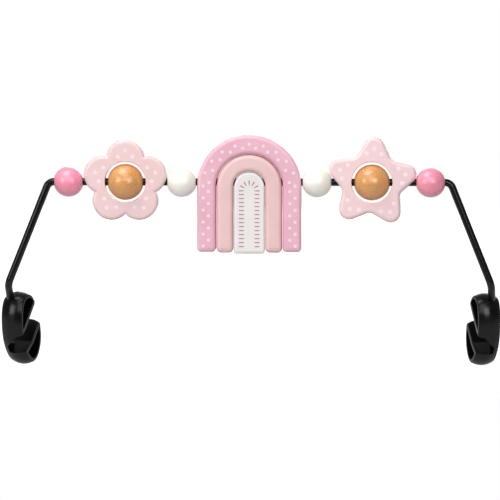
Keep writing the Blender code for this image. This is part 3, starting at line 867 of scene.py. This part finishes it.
flower_dots = trio_of_dots(PETAL_TIP_DOT, PETAL_SIDE_DOT, PETALS, 0.0, FLOWER_DOT_RADIUS)
flower_paint = painted_material(
    "flower_paint", pivots["flower_frame"], SOFT_PINK, PALE_DOT, pattern=flower_dots, **PALE_PAINT
)
finish(flower, Matrix.Translation(pivots["flower_frame"]), "flower_frame", flower_paint)

# %% [markdown]
# ## The star
#
# A five-pointed star with full, round tips and filleted notches, hung slightly askew. One arm's outline is
# a line, the tip's arc, a line and the notch's arc; the arms repeat round the hole.

# %% Star board
STAR_POINTS = 5
STAR_RIM = 10.0 * MM
STAR_ARM = 28.9 * MM
STAR_TIP_FILLET = 10.9 * MM
STAR_NOTCH_FILLET = 8.0 * MM
STAR_TURN = math.radians(-4.0)
STAR_LINE_STEPS = 6
STAR_ARC_STEPS = 14
STAR_NOTCH = HOLE_RADIUS + STAR_RIM
STAR_REACH = STAR_NOTCH + STAR_ARM


def star_board():
    """One arm is drawn from notch to notch, repeated round the hole, turned askew and thickened."""
    half_arm = math.pi / STAR_POINTS
    tip = Vector((0, 0, STAR_REACH))
    notch = STAR_NOTCH * Vector((math.sin(half_arm), 0, math.cos(half_arm)))
    side = (notch - tip).normalized()
    tip_half = side.angle(-tip)
    notch_half = side.angle(-notch)
    tip_run = STAR_TIP_FILLET / math.tan(tip_half)
    notch_run = STAR_NOTCH_FILLET / math.tan(notch_half)
    tip_centre = tip * (1 - STAR_TIP_FILLET / math.sin(tip_half) / STAR_REACH)
    notch_centre = notch * (1 + STAR_NOTCH_FILLET / math.sin(notch_half) / STAR_NOTCH)
    mirrored = Vector((-1, 1, 1))
    bm = bmesh.new()
    point = bm.verts.new((notch - side * notch_run) * mirrored)
    point = draw_line(bm, point, (tip + side * tip_run) * mirrored, STAR_LINE_STEPS)
    point = spin_point(bm, point, tip_centre, math.pi - 2 * tip_half, STAR_ARC_STEPS)
    point = draw_line(bm, point, notch - side * notch_run, STAR_LINE_STEPS)
    spin_point(bm, point, notch_centre, -(math.pi - 2 * notch_half), STAR_ARC_STEPS)
    repeat_round_hole(bm, STAR_POINTS, HOLE_RADIUS)
    bmesh.ops.rotate(bm, verts=bm.verts, matrix=Matrix.Rotation(-STAR_TURN, 3, "Y"))
    thicken(bm, BOARD_THICKNESS)
    round_rims(bm, SOFT_EDGE, SOFT_STEPS, HOLE_RADIUS)
    return bm


star = as_object("star_painted", star_board())
bore_for_rod(star, STAR_REACH)
print("star reach before rounding", round(STAR_REACH / MM, 1), "mm")

# %% Star paint
STAR_DOT_RADIUS = 2.3 * MM
ARM_TIP_DOT = 36.5 * MM
ARM_SIDE_DOT = (7.9 * MM, 30.9 * MM)
BLUSH = tone(241, 210, 212)
BLUSH_DOT = tone(248, 226, 229)

star_dots = trio_of_dots(ARM_TIP_DOT, ARM_SIDE_DOT, STAR_POINTS, -STAR_TURN, STAR_DOT_RADIUS)
star_paint = painted_material(
    "star_paint", pivots["star_frame"], BLUSH, BLUSH_DOT, pattern=star_dots, **PALE_PAINT
)
finish(star, Matrix.Translation(pivots["star_frame"]), "star_frame", star_paint)

# %% [markdown]
# ## The rainbow
#
# Three boards nest in each other and hang from the same rod. The outer two are arches, so each outline is
# two half circles with straight legs, bridged into a band. The innermost is a slab with a round top. The
# corners of the feet are rounded first, then the rims. The middle arch's rims are 0.6 mm rounder here than
# in the solids, so that they stay clear of the outer arch when it swings 55 degrees.

# %% Arch boards
ARCH_CENTRE_DROP = 5.2 * MM
OUTER_FOOT_DROP = 74.4 * MM
MIDDLE_FOOT_DROP = 75.2 * MM
SLAB_FOOT_DROP = 76.2 * MM
SLAB_HALF_WIDTH = 16.2 * MM
MIDDLE_GAP = 0.7 * MM
MIDDLE_BAND = 18.0 * MM
OUTER_GAP = 0.6 * MM
MIDDLE_EDGE = 4.6 * MM
OUTER_BAND = 20.0 * MM
SLAB_THICKNESS = 12.0 * MM
SLAB_EDGE = 2.0 * MM
SLAB_STEPS = 3
FOOT_ROUNDING = 0.3 * MM
ARCH_STEPS = 64
LEG_STEPS = 12
FOOT_STEPS = 6
MIDDLE_INSIDE = SLAB_HALF_WIDTH + MIDDLE_GAP
MIDDLE_OUTSIDE = MIDDLE_INSIDE + MIDDLE_BAND
OUTER_INSIDE = MIDDLE_OUTSIDE + OUTER_GAP
OUTER_OUTSIDE = OUTER_INSIDE + OUTER_BAND


def arch_line(bm, radius, foot_drop):
    """Draws from one foot up, over the top and down to the other foot."""
    centre = Vector((0, 0, -ARCH_CENTRE_DROP))
    point = bm.verts.new((-radius, 0, -foot_drop))
    point = draw_line(bm, point, centre - Vector((radius, 0, 0)), LEG_STEPS)
    point = spin_point(bm, point, centre, math.pi, ARCH_STEPS)
    draw_line(bm, point, (radius, 0, -foot_drop), LEG_STEPS)


def round_feet(bm, radius, foot_drop):
    """Rounds the corners of the feet, which run along Y."""
    corners = []
    for edge in bm.edges:
        run = edge.verts[1].co - edge.verts[0].co
        at_foot = max(edge.verts[0].co.z, edge.verts[1].co.z) < -foot_drop + MERGE
        if at_foot and abs(run.y) > MERGE and edge.calc_face_angle(0.0) > RIM_ANGLE:
            corners.append(edge)
    round_edges(bm, corners, radius, FOOT_STEPS)


def arch_board(name, outside, inside, foot_drop, soft_edge, thickness=BOARD_THICKNESS, steps=SOFT_STEPS):
    """A band between two arch lines, or a slab where there is no inner line, bored for the rod."""
    bm = bmesh.new()
    arch_line(bm, outside, foot_drop)
    if inside:
        arch_line(bm, inside, foot_drop)
        bmesh.ops.bridge_loops(bm, edges=bm.edges[:])
    else:
        bmesh.ops.contextual_create(bm, geom=bm.verts[:] + bm.edges[:])
    thicken(bm, thickness)
    round_feet(bm, soft_edge + FOOT_ROUNDING, foot_drop)
    round_rims(bm, soft_edge, steps)
    board = as_object(name, bm)
    bore_for_rod(board, OUTER_OUTSIDE)
    return board


outer_arch = arch_board("rainbow_outer_painted", OUTER_OUTSIDE, OUTER_INSIDE, OUTER_FOOT_DROP, SOFT_EDGE)
middle_arch = arch_board(
    "rainbow_middle_painted", MIDDLE_OUTSIDE, MIDDLE_INSIDE, MIDDLE_FOOT_DROP, MIDDLE_EDGE
)
slab = arch_board(
    "rainbow_slab_painted", SLAB_HALF_WIDTH, 0.0, SLAB_FOOT_DROP, SLAB_EDGE, SLAB_THICKNESS, SLAB_STEPS
)
print("rainbow", round(2 * OUTER_OUTSIDE / MM, 1), "mm wide")

# %% [markdown]
# ## The rainbow's print
#
# Two staggered rows of white dots run round the outer arch: at even angles over the top, and at even
# heights down the legs. On the white slab short dashes run round the same kind of path, like a railway seen
# from above.

# %% Dots on the outer arch
ARCH_DOT_RADIUS = 1.75 * MM
INNER_DOT_ANGLE = math.radians(18.2)
PRINT_CENTRE_DROP = 6.1 * MM
OUTER_ROW = {
    "ring": 50.2 * MM, "flattening": 0.934, "angle": math.radians(17.4), "turn": 0.0,
    "column": 48.95 * MM, "first": -3.8 * MM, "step": 12.8 * MM, "change": 2.4 * MM,
}
INNER_ROW = {
    "ring": 43.15 * MM, "flattening": 1.0, "angle": INNER_DOT_ANGLE, "turn": INNER_DOT_ANGLE / 2,
    "column": 43.3 * MM, "first": -9.5 * MM, "step": 13.0 * MM, "change": -4.5 * MM,
}


def row_of_dots(tree, across, up, ring, flattening, angle, turn, column, first, step, change):
    """One row: a ring of dots above the change, and below it a column of dots down each leg."""
    ring_inputs = {
        "Across": across, "Up": calc(tree, "ADD", up, PRINT_CENTRE_DROP), "Ring Radius": ring,
        "Flattening": flattening, "Step": angle, "Shift": turn, "Dot Radius": ARCH_DOT_RADIUS,
    }
    column_inputs = {
        "Across": calc(tree, "ABSOLUTE", across), "Up": up, "Column": column,
        "Step": step, "Shift": first, "Dot Radius": ARCH_DOT_RADIUS,
    }
    top = use_group(tree, RING_OF_DOTS, ring_inputs)["Mask"]
    legs = use_group(tree, COLUMN_OF_DOTS, column_inputs)["Mask"]
    return either(tree, calc(tree, "GREATER_THAN", up, change), top, legs)


def arch_pattern(tree, across, up):
    """Two staggered rows of dots."""
    rows = [row_of_dots(tree, across, up, **row) for row in (OUTER_ROW, INNER_ROW)]
    return calc(tree, "MAXIMUM", *rows)


print("dots", round(2 * ARCH_DOT_RADIUS / MM, 1), "mm wide")

# %% Dashes on the slab
DASH_ROW = 8.3 * MM
DASH_LENGTH = 5.2 * MM
DASH_WIDTH = 1.15 * MM
DASH_STEP = 4.27 * MM
DASH_FIRST = -12.9 * MM
DASH_LOWEST = -70.8 * MM
FAN_CENTRE = -8.95 * MM
FAN_ANGLE = math.radians(30.0)


def slab_pattern(tree, across, up):
    """A fan of dashes over the top and two columns below it."""
    above = calc(tree, "SUBTRACT", up, FAN_CENTRE)
    along_fan = calc(tree, "MULTIPLY", calc(tree, "ARCTAN2", across, above), DASH_ROW)
    masks = []
    for along, reach, step, shift in (
        (along_fan, distance(tree, across, above), FAN_ANGLE * DASH_ROW, 0.0),
        (up, calc(tree, "ABSOLUTE", across), DASH_STEP, DASH_FIRST),
    ):
        inputs = {
            "Along": along, "Off": calc(tree, "SUBTRACT", reach, DASH_ROW),
            "Step": step, "Shift": shift, "Length": DASH_LENGTH, "Width": DASH_WIDTH,
        }
        masks.append(use_group(tree, DASHES, inputs)["Mask"])
    is_fan = calc(tree, "GREATER_THAN", up, (FAN_CENTRE + DASH_FIRST) / 2)
    printed = either(tree, is_fan, *masks)
    return calc(tree, "MULTIPLY", printed, calc(tree, "GREATER_THAN", up, DASH_LOWEST))


print("dashes", round(DASH_LENGTH / MM, 1), "mm long")

# %% Painted gap light and shade group
# Painted shade darkens the paint within the first width from a gap's wall, painted light lifts it within the
# second
GAP_SHADE_WIDTH = 0.75 * MM
GAP_LIGHT_WIDTH = 4.0 * MM
GAP_SHADE_SHARE = 0.85
GAP_LIGHT_SHARE = 0.9
# Each of these: the colour's saturation and value
GAP_LIGHT_PAINT = (1.5, 1.12)
GAP_SHADE_PAINT = (1.8, 0.2)


def painted_gap_light_and_shade():
    """Painted light and shade at an arch's gaps: lighter and richer towards the wall, darkened at the wall.
    """
    inputs = {"Colour": GREY, **dict.fromkeys(("Across", "Up", "Inside", "Outside"), 0.0)}
    group, given, result = new_group("painted_gap_light_and_shade", inputs, ["Colour"])
    above = calc(group, "MAXIMUM", calc(group, "ADD", given["Up"], ARCH_CENTRE_DROP), 0.0)
    reach = distance(group, given["Across"], above)
    from_walls = [
        calc(group, "ABSOLUTE", calc(group, "SUBTRACT", reach, given[wall])) for wall in ("Inside", "Outside")
    ]
    near = calc(group, "MINIMUM", *from_walls)
    # Painted light: lighter, richer paint towards the wall lifts the shade that falls into the gap
    lit_paint = shade(group, given["Colour"], *GAP_LIGHT_PAINT)
    light_share = fade(group, near, 0.0, GAP_LIGHT_WIDTH, GAP_LIGHT_SHARE, 0.0)
    lit_colour = blend_colours(group, light_share, given["Colour"], lit_paint)
    # Painted shade: dark paint right at the wall draws the gap's shadow line
    dark = shade(group, given["Colour"], *GAP_SHADE_PAINT)
    shade_share = fade(group, near, GAP_SHADE_WIDTH / 4, GAP_SHADE_WIDTH, GAP_SHADE_SHARE, 0.0)
    group.links.new(blend_colours(group, shade_share, lit_colour, dark), result["Colour"])
    return group


PAINTED_GAP_LIGHT_AND_SHADE = painted_gap_light_and_shade()
print("group", PAINTED_GAP_LIGHT_AND_SHADE.name)

# %% Rainbow in its paints
NOWHERE = 1.0
ROSE = tone(233, 182, 198)
WHITE_DOT = tone(247, 214, 224)
CREAM_PINK = tone(233, 198, 197)
SLAB_WHITE = tone(232, 228, 227)
DASH_INK = tone(176, 124, 122)


def light_and_shade_at_walls(inside, outside):
    """Painted light and shade for a board whose inner and outer walls, at these radii, face a gap."""
    def paint_light_and_shade(tree, colour, across, up):
        # Painted light and shade at this board's gap walls
        inputs = {"Colour": colour, "Across": across, "Up": up, "Inside": inside, "Outside": outside}
        return use_group(tree, PAINTED_GAP_LIGHT_AND_SHADE, inputs)["Colour"]
    return paint_light_and_shade


def dress_arch(board, node, slot, name, paint, ink, walls, **look):
    """Paints a rainbow board, with painted light and shade at its walls that face a gap, and puts it in its
    place.
    """
    material = painted_material(name, rod_axis, paint, ink, gap_light_and_shade=light_and_shade_at_walls(*walls), **look)
    finish(board, Matrix.Translation(rod_axis), node, material)


dress_arch(
    outer_arch, "rainbow_outer_arch", "rose_paint", "outer_arch_paint", ROSE, WHITE_DOT,
    walls=(OUTER_INSIDE, NOWHERE), fibres=0.3, gloss=0.5, pattern=arch_pattern,
)
dress_arch(
    middle_arch, "rainbow_middle_arch", "pale_paint", "middle_arch_paint", CREAM_PINK, CREAM_PINK,
    walls=(MIDDLE_INSIDE, MIDDLE_OUTSIDE), fibres=0.35, gloss=0.5,
)
dress_arch(
    slab, "rainbow_inner_arch", "white_paint", "slab_paint", SLAB_WHITE, DASH_INK,
    walls=(-NOWHERE, SLAB_HALF_WIDTH), fibres=0.35, gloss=0.35, pattern=slab_pattern,
)

# %% [markdown]
# ## Black gloss
#
# The rod is steel under a smooth baked paint, and the hooks are moulded plastic with a finely sparked skin.
# Both are nearly black, so what one sees is the light they throw back. A node group gives them a faintly
# uneven gloss, paler clouds, and a fine grain as a bump: on the plastic that is the mould's texture.

# %% Black group
CLOUD_SCALE = 60.0
PALE_CLOUD = 1.7
# Each of these: from which noise value to which it changes, and from what to what
CLOUD_SHARE = (0.35, 0.75, 0.0, 0.6)
UNEVEN_GLOSS = (0.3, 0.7, -0.03, 0.05)


def black_skin():
    """Colour, roughness and height of a black coat or moulding."""
    inputs = {"Vector": ORIGIN, "Black": GREY, "Roughness": 0.0, "Grain Scale": 0.0}
    group, given, result = new_group("black_skin", inputs, SKIN)
    clouds = noise(group, given["Vector"], CLOUD_SCALE, detail=3.0)
    paler = shade(group, given["Black"], 1.0, PALE_CLOUD)
    cloudy = blend_colours(group, fade(group, clouds, *CLOUD_SHARE), given["Black"], paler)
    uneven = calc(group, "ADD", given["Roughness"], fade(group, clouds, *UNEVEN_GLOSS))
    group.links.new(cloudy, result["Colour"])
    group.links.new(uneven, result["Roughness"])
    group.links.new(noise(group, given["Vector"], given["Grain Scale"], detail=2.0), result["Height"])
    return group


BLACK_SKIN = black_skin()
print("group", BLACK_SKIN.name)

# %% Black materials
NEAR_BLACK = tone(8, 8, 9)
BLACK_SPECULAR = 0.25
BLACK_BUMP = 0.5
COAT_ROUGHNESS = 0.15


def black_material(name, roughness, grain_scale, grain_height, coat_weight):
    """Black with its own gloss and grain."""
    material, tree = new_material(name)
    vector = wire(tree, "ShaderNodeTexCoord").outputs["Object"]
    inputs = {"Vector": vector, "Black": NEAR_BLACK, "Roughness": roughness, "Grain Scale": grain_scale}
    skin = use_group(tree, BLACK_SKIN, inputs)
    wear_skin(tree, skin, skin["Colour"], (BLACK_BUMP, grain_height), (coat_weight, COAT_ROUGHNESS))
    tree.nodes["Principled BSDF"].inputs["Specular IOR Level"].default_value = BLACK_SPECULAR
    return material


rod_paint = black_material(
    "rod_paint", roughness=0.26, grain_scale=1800.0, grain_height=0.006 * MM, coat_weight=0.05
)
hook_plastic = black_material(
    "hook_plastic", roughness=0.24, grain_scale=2600.0, grain_height=0.008 * MM, coat_weight=0.0
)
print("materials", rod_paint.name, hook_plastic.name)

# %% [markdown]
# ## The rod
#
# The rod is bent from one length of round bar. A circle in the middle of the bar is extruded along the
# straight run, spun round the upper bend, extruded down the leg, spun round the lower bend and extruded
# into the hook, once to each side. The two halves mirror each other but for their ends, which are both
# skewed a little to the right.

# %% Rod
LEG_LENGTH = 118.0 * MM
LEG_SPLAY = math.radians(21.8)
UPPER_BEND_RADIUS = 8.5 * MM
LOWER_BEND_RADIUS = 14.0 * MM
END_TILT = math.radians(46.0)
END_SKEW = math.radians(2.8)
END_REACH = 23.0 * MM
END_INSERTION = 14.0 * MM
ROD_SIDES = 40
BEND_STEPS = 16
HALF_BEAD = math.sqrt((BEAD_DIAMETER / 2) ** 2 - BORE_RADIUS**2)
OUTER_BEAD = max(abs(pivots[name].x - rod_axis.x) for name in ("left_pink_bead", "right_pink_bead"))
UPPER_CUT = UPPER_BEND_RADIUS * math.tan((math.pi / 2 - LEG_SPLAY) / 2)
HALF_SPAN = OUTER_BEAD + HALF_BEAD + UPPER_CUT
END_DIRECTION = Vector((
    math.sin(END_TILT) * math.sin(END_SKEW),
    math.sin(END_TILT) * math.cos(END_SKEW),
    -math.cos(END_TILT),
))


def extrude_ring(bm, ring, shift):
    """Extrudes a ring of edges in a straight line and returns the new ring."""
    made = bmesh.ops.extrude_edge_only(bm, edges=ring)["geom"]
    bmesh.ops.translate(bm, verts=pick(bmesh.types.BMVert, made), vec=shift)
    return pick(bmesh.types.BMEdge, made)


def bend_ring(bm, ring, corner, arriving, leaving, radius):
    """Spins a ring of edges round the corner between two directions and returns the new ring."""
    turn = arriving.angle(leaving)
    axis = arriving.cross(leaving).normalized()
    centre = corner - arriving * radius * math.tan(turn / 2) + axis.cross(arriving) * radius
    verts = list({vert for edge in ring for vert in edge.verts})
    return pick(bmesh.types.BMEdge, turn_about(bm, verts + ring, centre, axis, turn, BEND_STEPS))


def bend_half(bm, ring, hand):
    """From the ring in the middle of the bar to one end. Hand is 1 to the right and -1 to the left."""
    along = Vector((hand, 0, 0))
    down = Vector((hand * math.sin(LEG_SPLAY), 0, -math.cos(LEG_SPLAY)))
    knee = along * HALF_SPAN
    ankle = knee + down * LEG_LENGTH
    lower_cut = LOWER_BEND_RADIUS * math.tan(down.angle(END_DIRECTION) / 2)
    ring = extrude_ring(bm, ring, along * (HALF_SPAN - UPPER_CUT))
    ring = bend_ring(bm, ring, knee, along, down, UPPER_BEND_RADIUS)
    ring = extrude_ring(bm, ring, down * (LEG_LENGTH - UPPER_CUT - lower_cut))
    ring = bend_ring(bm, ring, ankle, down, END_DIRECTION, LOWER_BEND_RADIUS)
    ring = extrude_ring(bm, ring, END_DIRECTION * (END_REACH + END_INSERTION - lower_cut))
    bmesh.ops.contextual_create(bm, geom=ring)


bm = bmesh.new()
upright = Matrix.Rotation(math.pi / 2, 4, "Y")
bmesh.ops.create_circle(bm, segments=ROD_SIDES, radius=ROD_DIAMETER / 2, matrix=upright)
middle_ring = bm.edges[:]
for hand in (1, -1):
    bend_half(bm, middle_ring, hand)
rod = as_object("rod_black", bm)
finish(rod, Matrix.Translation(rod_axis), "bar_rod", rod_paint, "bar")
print("bar", round(2 * HALF_SPAN / MM, 1), "mm between the upper corners")

# %% [markdown]
# ## The hooks
#
# Each hook is a thick comma in side view, with a slanted slot that takes the seat's tube, and it is
# crowned, so its skin bulges in the middle of its width. It is lofted: the same section is drawn at many
# stations across the width, a little smaller towards the sides, and the rings are bridged. Like most such
# mouldings it is hollowed from the inner side, which keeps the walls even, and a boss is left round the
# rod's end. The slot goes on through the front as a channel, which only a web on the outer side closes. The
# channel's upper corner at the web is cut slanted, because a full one would open a view right through the
# slot.

# %% Hook sizes
HOOK_WIDTH = 24.5 * MM
HALF_HOOK = HOOK_WIDTH / 2
HOOK_DEPTH = 52.2 * MM
HOOK_HEIGHT = 78.8 * MM
HOOK_CROWN = 3.4 * MM
HOOK_EDGE = 0.8 * MM
HOOK_WALL = 2.8 * MM
HOOK_WEB = 2.8 * MM
HOOK_YAW = math.radians(20.0)
SLOT_ANGLE = math.radians(50.0)
SLOT_SEAT_RADIUS = 10.0 * MM
SLOT_FRONT_WALL = 10.3 * MM
SLOT_FLOOR_WALL = 22.8 * MM
SLOT_WALL = 4.0 * MM
MOUTH_FILLET = 3.0 * MM
MOUTH_SHOULDER = 10.0 * MM
OUTLINE_STEPS = 12
SEAT_STEPS = 32
FILLET_STEPS = 10
SEAT = Vector((SLOT_FRONT_WALL + SLOT_SEAT_RADIUS, SLOT_FLOOR_WALL + SLOT_SEAT_RADIUS - HOOK_HEIGHT))
WAY_OUT = Vector((math.cos(SLOT_ANGLE), math.sin(SLOT_ANGLE)))
TO_ROOF = Vector((-WAY_OUT.y, WAY_OUT.x))
# Points on the outline, as shares of the hook's depth and height, from its top past the mouth and round
OUTLINE_SHARES = (
    (0.37, 0.0), (0.575, -0.03), (0.71, -0.11), (0.86, -0.25), (0.945, -0.41),
    (1.0, -0.61), (0.965, -0.78), (0.83, -0.93), (0.61, -1.0), (0.38, -0.945),
    (0.19, -0.815), (0.06, -0.65), (0.0, -0.44), (0.015, -0.23), (0.13, -0.07),
)
print("seat of the slot at", [round(c / MM, 1) for c in SEAT], "mm")

# %% Hook outline
def hook_contour(inset=0.0):
    """The smooth outer contour, drawn in by the inset: a closed curve through the outline's points."""
    corners = [Vector((u * HOOK_DEPTH, v * HOOK_HEIGHT)) for u, v in OUTLINE_SHARES]
    count = len(corners)
    points = []
    for i in range(count):
        a, b, c, d = (corners[(i + k - 1) % count] for k in range(4))
        for step in range(OUTLINE_STEPS):
            t = step / OUTLINE_STEPS
            points.append(b + 0.5 * t * (c - a + t * (2 * a - 5 * b + 4 * c - d + t * (3 * (b - c) + d - a))))
    drawn_in = []
    for i, point in enumerate(points):
        along = (points[(i + 1) % len(points)] - points[i - 1]).normalized()
        drawn_in.append(point + inset * Vector((along.y, -along.x)))
    return drawn_in


def arc_points(centre, radius, start, sweep, steps):
    """Points on an arc, both ends included."""
    angles = (start + sweep * i / steps for i in range(steps + 1))
    return [centre + radius * Vector((math.cos(angle), math.sin(angle))) for angle in angles]


def seat_points(radius):
    """Half a circle about the slot's seat, from its roof round its closed end to its floor."""
    return arc_points(SEAT, radius, math.atan2(TO_ROOF.y, TO_ROOF.x), math.pi, SEAT_STEPS)


def fillet_points(before, corner, after):
    """The arc that rounds a corner of the mouth."""
    to_before = (before - corner).normalized()
    to_after = (after - corner).normalized()
    half = to_before.angle(to_after) / 2.0
    centre = corner + (to_before + to_after).normalized() * (MOUTH_FILLET / math.sin(half))
    run = MOUTH_FILLET / math.tan(half)
    start = corner + to_before * run - centre
    sweep = -start.angle_signed(corner + to_after * run - centre)
    return arc_points(centre, MOUTH_FILLET, math.atan2(start.y, start.x), sweep, FILLET_STEPS)


def wall_crossing(contour, offset):
    """Where the contour crosses a slot wall at this offset, and after which of its points."""
    for i, point in enumerate(contour):
        after = contour[(i + 1) % len(contour)]
        a = TO_ROOF.dot(point - SEAT) - offset
        b = TO_ROOF.dot(after - SEAT) - offset
        if a * b <= 0 < WAY_OUT.dot(point - SEAT) and a != b:
            return point + (after - point) * (a / (a - b)), i
    raise ValueError("the slot's wall misses the hook's contour")


def kept_of_contour():
    """Which of the contour's points the slot leaves, from below its mouth round the front to above it."""
    contour = hook_contour()
    roof, last = wall_crossing(contour, SLOT_SEAT_RADIUS)
    floor, first = wall_crossing(contour, -SLOT_SEAT_RADIUS)
    way_round = [(first + k) % len(contour) for k in range(1, (last - first) % len(contour) + 1)]
    return [
        i for i in way_round if min((contour[i] - roof).length, (contour[i] - floor).length) > MOUTH_SHOULDER
    ]


def hook_section(inset=0.0, flare=0.0):
    """The section at one station: contour, rounded mouth and slot, always with as many points."""
    contour = hook_contour(inset)
    half = SLOT_SEAT_RADIUS + flare
    roof = wall_crossing(contour, half)[0]
    floor = wall_crossing(contour, -half)[0]
    kept = [contour[i] for i in kept_of_contour()]
    upper = fillet_points(kept[-1], roof, SEAT + TO_ROOF * half)
    lower = fillet_points(SEAT - TO_ROOF * half, floor, kept[0])
    return kept + upper + seat_points(half) + lower


print("hook section of", len(hook_section()), "points")

# %% Hook stations and loft
HOOK_STATIONS = 12
EDGE_STATIONS = 5


def loft(rings):
    """Bridges rings of points, each drawn at its own X, into a closed body."""
    bm = bmesh.new()
    loops = []
    for x, points in rings:
        verts = [bm.verts.new((x, p.x, p.y)) for p in points]
        loops.append([bm.edges.new((vert, verts[i - 1])) for i, vert in enumerate(verts)])
    for first, second in zip(loops, loops[1:]):
        bmesh.ops.bridge_loops(bm, edges=first + second)
    for end in (loops[0], loops[-1]):
        bmesh.ops.contextual_create(bm, geom=end)
    return as_object("loft", bm)


def hook_stations():
    """Stations across the width, each with its inset and flare: a crown, and a rounded edge at both sides."""
    flat_half = HALF_HOOK - HOOK_EDGE
    stations = []
    for i in range(-HOOK_STATIONS, HOOK_STATIONS + 1):
        x = flat_half * i / HOOK_STATIONS
        stations.append((x, HOOK_CROWN * (x / HALF_HOOK) ** 2, 0.0))
    for k in range(1, EDGE_STATIONS + 1):
        angle = math.pi / 2 * k / EDGE_STATIONS
        x = flat_half + HOOK_EDGE * math.sin(angle)
        rounding = HOOK_EDGE * (1 - math.cos(angle))
        inset = HOOK_CROWN * (x / HALF_HOOK) ** 2 + rounding
        stations.append((x, inset, rounding / 2))
        stations.insert(0, (-x, inset, rounding / 2))
    return stations


print("hook of", len(hook_stations()), "stations")

# %% Hook hollows
BOSS_WALL = 2.6 * MM
SEAT_GAP = 0.3 * MM
ENTRY_OFFSET = 3.3 * MM
CHANNEL_ANGLE = math.radians(38.0)
CHANNEL_WEB = 5.5 * MM
CHANNEL_CORNER = 11.5 * MM


def slot_keeper_points():
    """The slot with its wall round it, open towards the mouth."""
    wide = SLOT_SEAT_RADIUS + SLOT_WALL
    past_mouth = [SEAT + wide * side * TO_ROOF + WAY_OUT * HOOK_HEIGHT for side in (-1, 1)]
    return seat_points(wide) + past_mouth


def channel_points(wall, corner=0.0):
    """The slot's way on through the hook's front, with a wall round it: it runs flatter than the slot."""
    wide = SLOT_SEAT_RADIUS + wall
    run = HOOK_DEPTH * Vector((math.cos(CHANNEL_ANGLE), math.sin(CHANNEL_ANGLE)))
    roof = SEAT + TO_ROOF * (wide - corner)
    floor = SEAT - TO_ROOF * wide
    return [roof, floor, floor - run, roof - run]


def hook_yaw(side):
    """A hook's turn about the vertical: inwards by its yaw, and sideways by the skew of the ends."""
    return -side * HOOK_YAW - END_SKEW


def hollow_core(side, around_rod):
    """What the mould's core leaves empty, apart from the walls round the slot, its channel and the rod."""
    ring = hook_contour(HOOK_WALL + HOOK_CROWN)
    core = loft([(side * x, ring) for x in (HOOK_WEB - HALF_HOOK, HALF_HOOK + CUT_OVERRUN)])
    reach = HALF_HOOK + 2 * CUT_OVERRUN
    for ring in (slot_keeper_points(), channel_points(SLOT_WALL)):
        cut(core, loft([(-reach, ring), (reach, ring)]))
    cut(core, around_rod(ROD_DIAMETER / 2 + SEAT_GAP + BOSS_WALL, -CUT_OVERRUN, END_INSERTION + BOSS_WALL))
    return core


def hook(name, side):
    """A hook in its own upright frame: side is 1 on the left and -1 on the right."""
    direction = Matrix.Rotation(-hook_yaw(side), 3, "Z") @ END_DIRECTION
    shoulder = max(hook_contour(), key=lambda p: p.dot(Vector((-direction.y, -direction.z))))
    entry = Vector((-side * ENTRY_OFFSET, shoulder.x, shoulder.y))
    turn = direction.to_track_quat("Z", "Y").to_matrix().to_4x4()

    def around_rod(radius, start, end):
        """A cylinder about the rod's end, from start to end past the hook's skin."""
        middle = Matrix.Translation(entry + direction * (start + end) / 2)
        return cylinder(radius, end - start, middle @ turn)

    piece = loft([(side * x, hook_section(inset, flare)) for x, inset, flare in hook_stations()])
    piece.name = name
    cut(piece, hollow_core(side, around_rod))
    channel_rings = (
        (side * (CHANNEL_WEB - HALF_HOOK), channel_points(0.0, CHANNEL_CORNER)),
        (side * (CHANNEL_WEB + CHANNEL_CORNER - HALF_HOOK), channel_points(0.0)),
        (side * (HALF_HOOK + CUT_OVERRUN), channel_points(0.0)),
    )
    cut(piece, loft(channel_rings))
    cut(piece, around_rod(ROD_DIAMETER / 2 + SEAT_GAP, -2 * CUT_OVERRUN, END_INSERTION + SEAT_GAP))
    return piece


print("hook", round(HOOK_HEIGHT / MM), "mm high")

# %% Hooks in place
FLOOR_MOUNT_POINT = 10.0 * MM


def seat_middle(name, turn):
    """The middle of the slot's seat, back from the mount on the slot's floor by its own distances."""
    mount = next(m for m in frame["record"]["mounts"] if m["name"] == name)
    way_out = turn @ Vector((0, WAY_OUT.x, WAY_OUT.y))
    return Vector(mount["pos_m"]) + Vector(mount["axis"]) * SLOT_SEAT_RADIUS - way_out * FLOOR_MOUNT_POINT


for node, side, mount_name in (("left_clip", 1, "left_slot_floor"), ("right_clip", -1, "right_slot_floor")):
    turn = Matrix.Rotation(hook_yaw(side), 4, "Z")
    middle = seat_middle(mount_name, turn)
    place = Matrix.Translation(middle) @ turn @ Matrix.Translation((0, -SEAT.x, -SEAT.y))
    finish(hook(node + "_moulded", side), place, node, hook_plastic, "bar")
    print(node, "seat at", [round(c, 4) for c in middle])
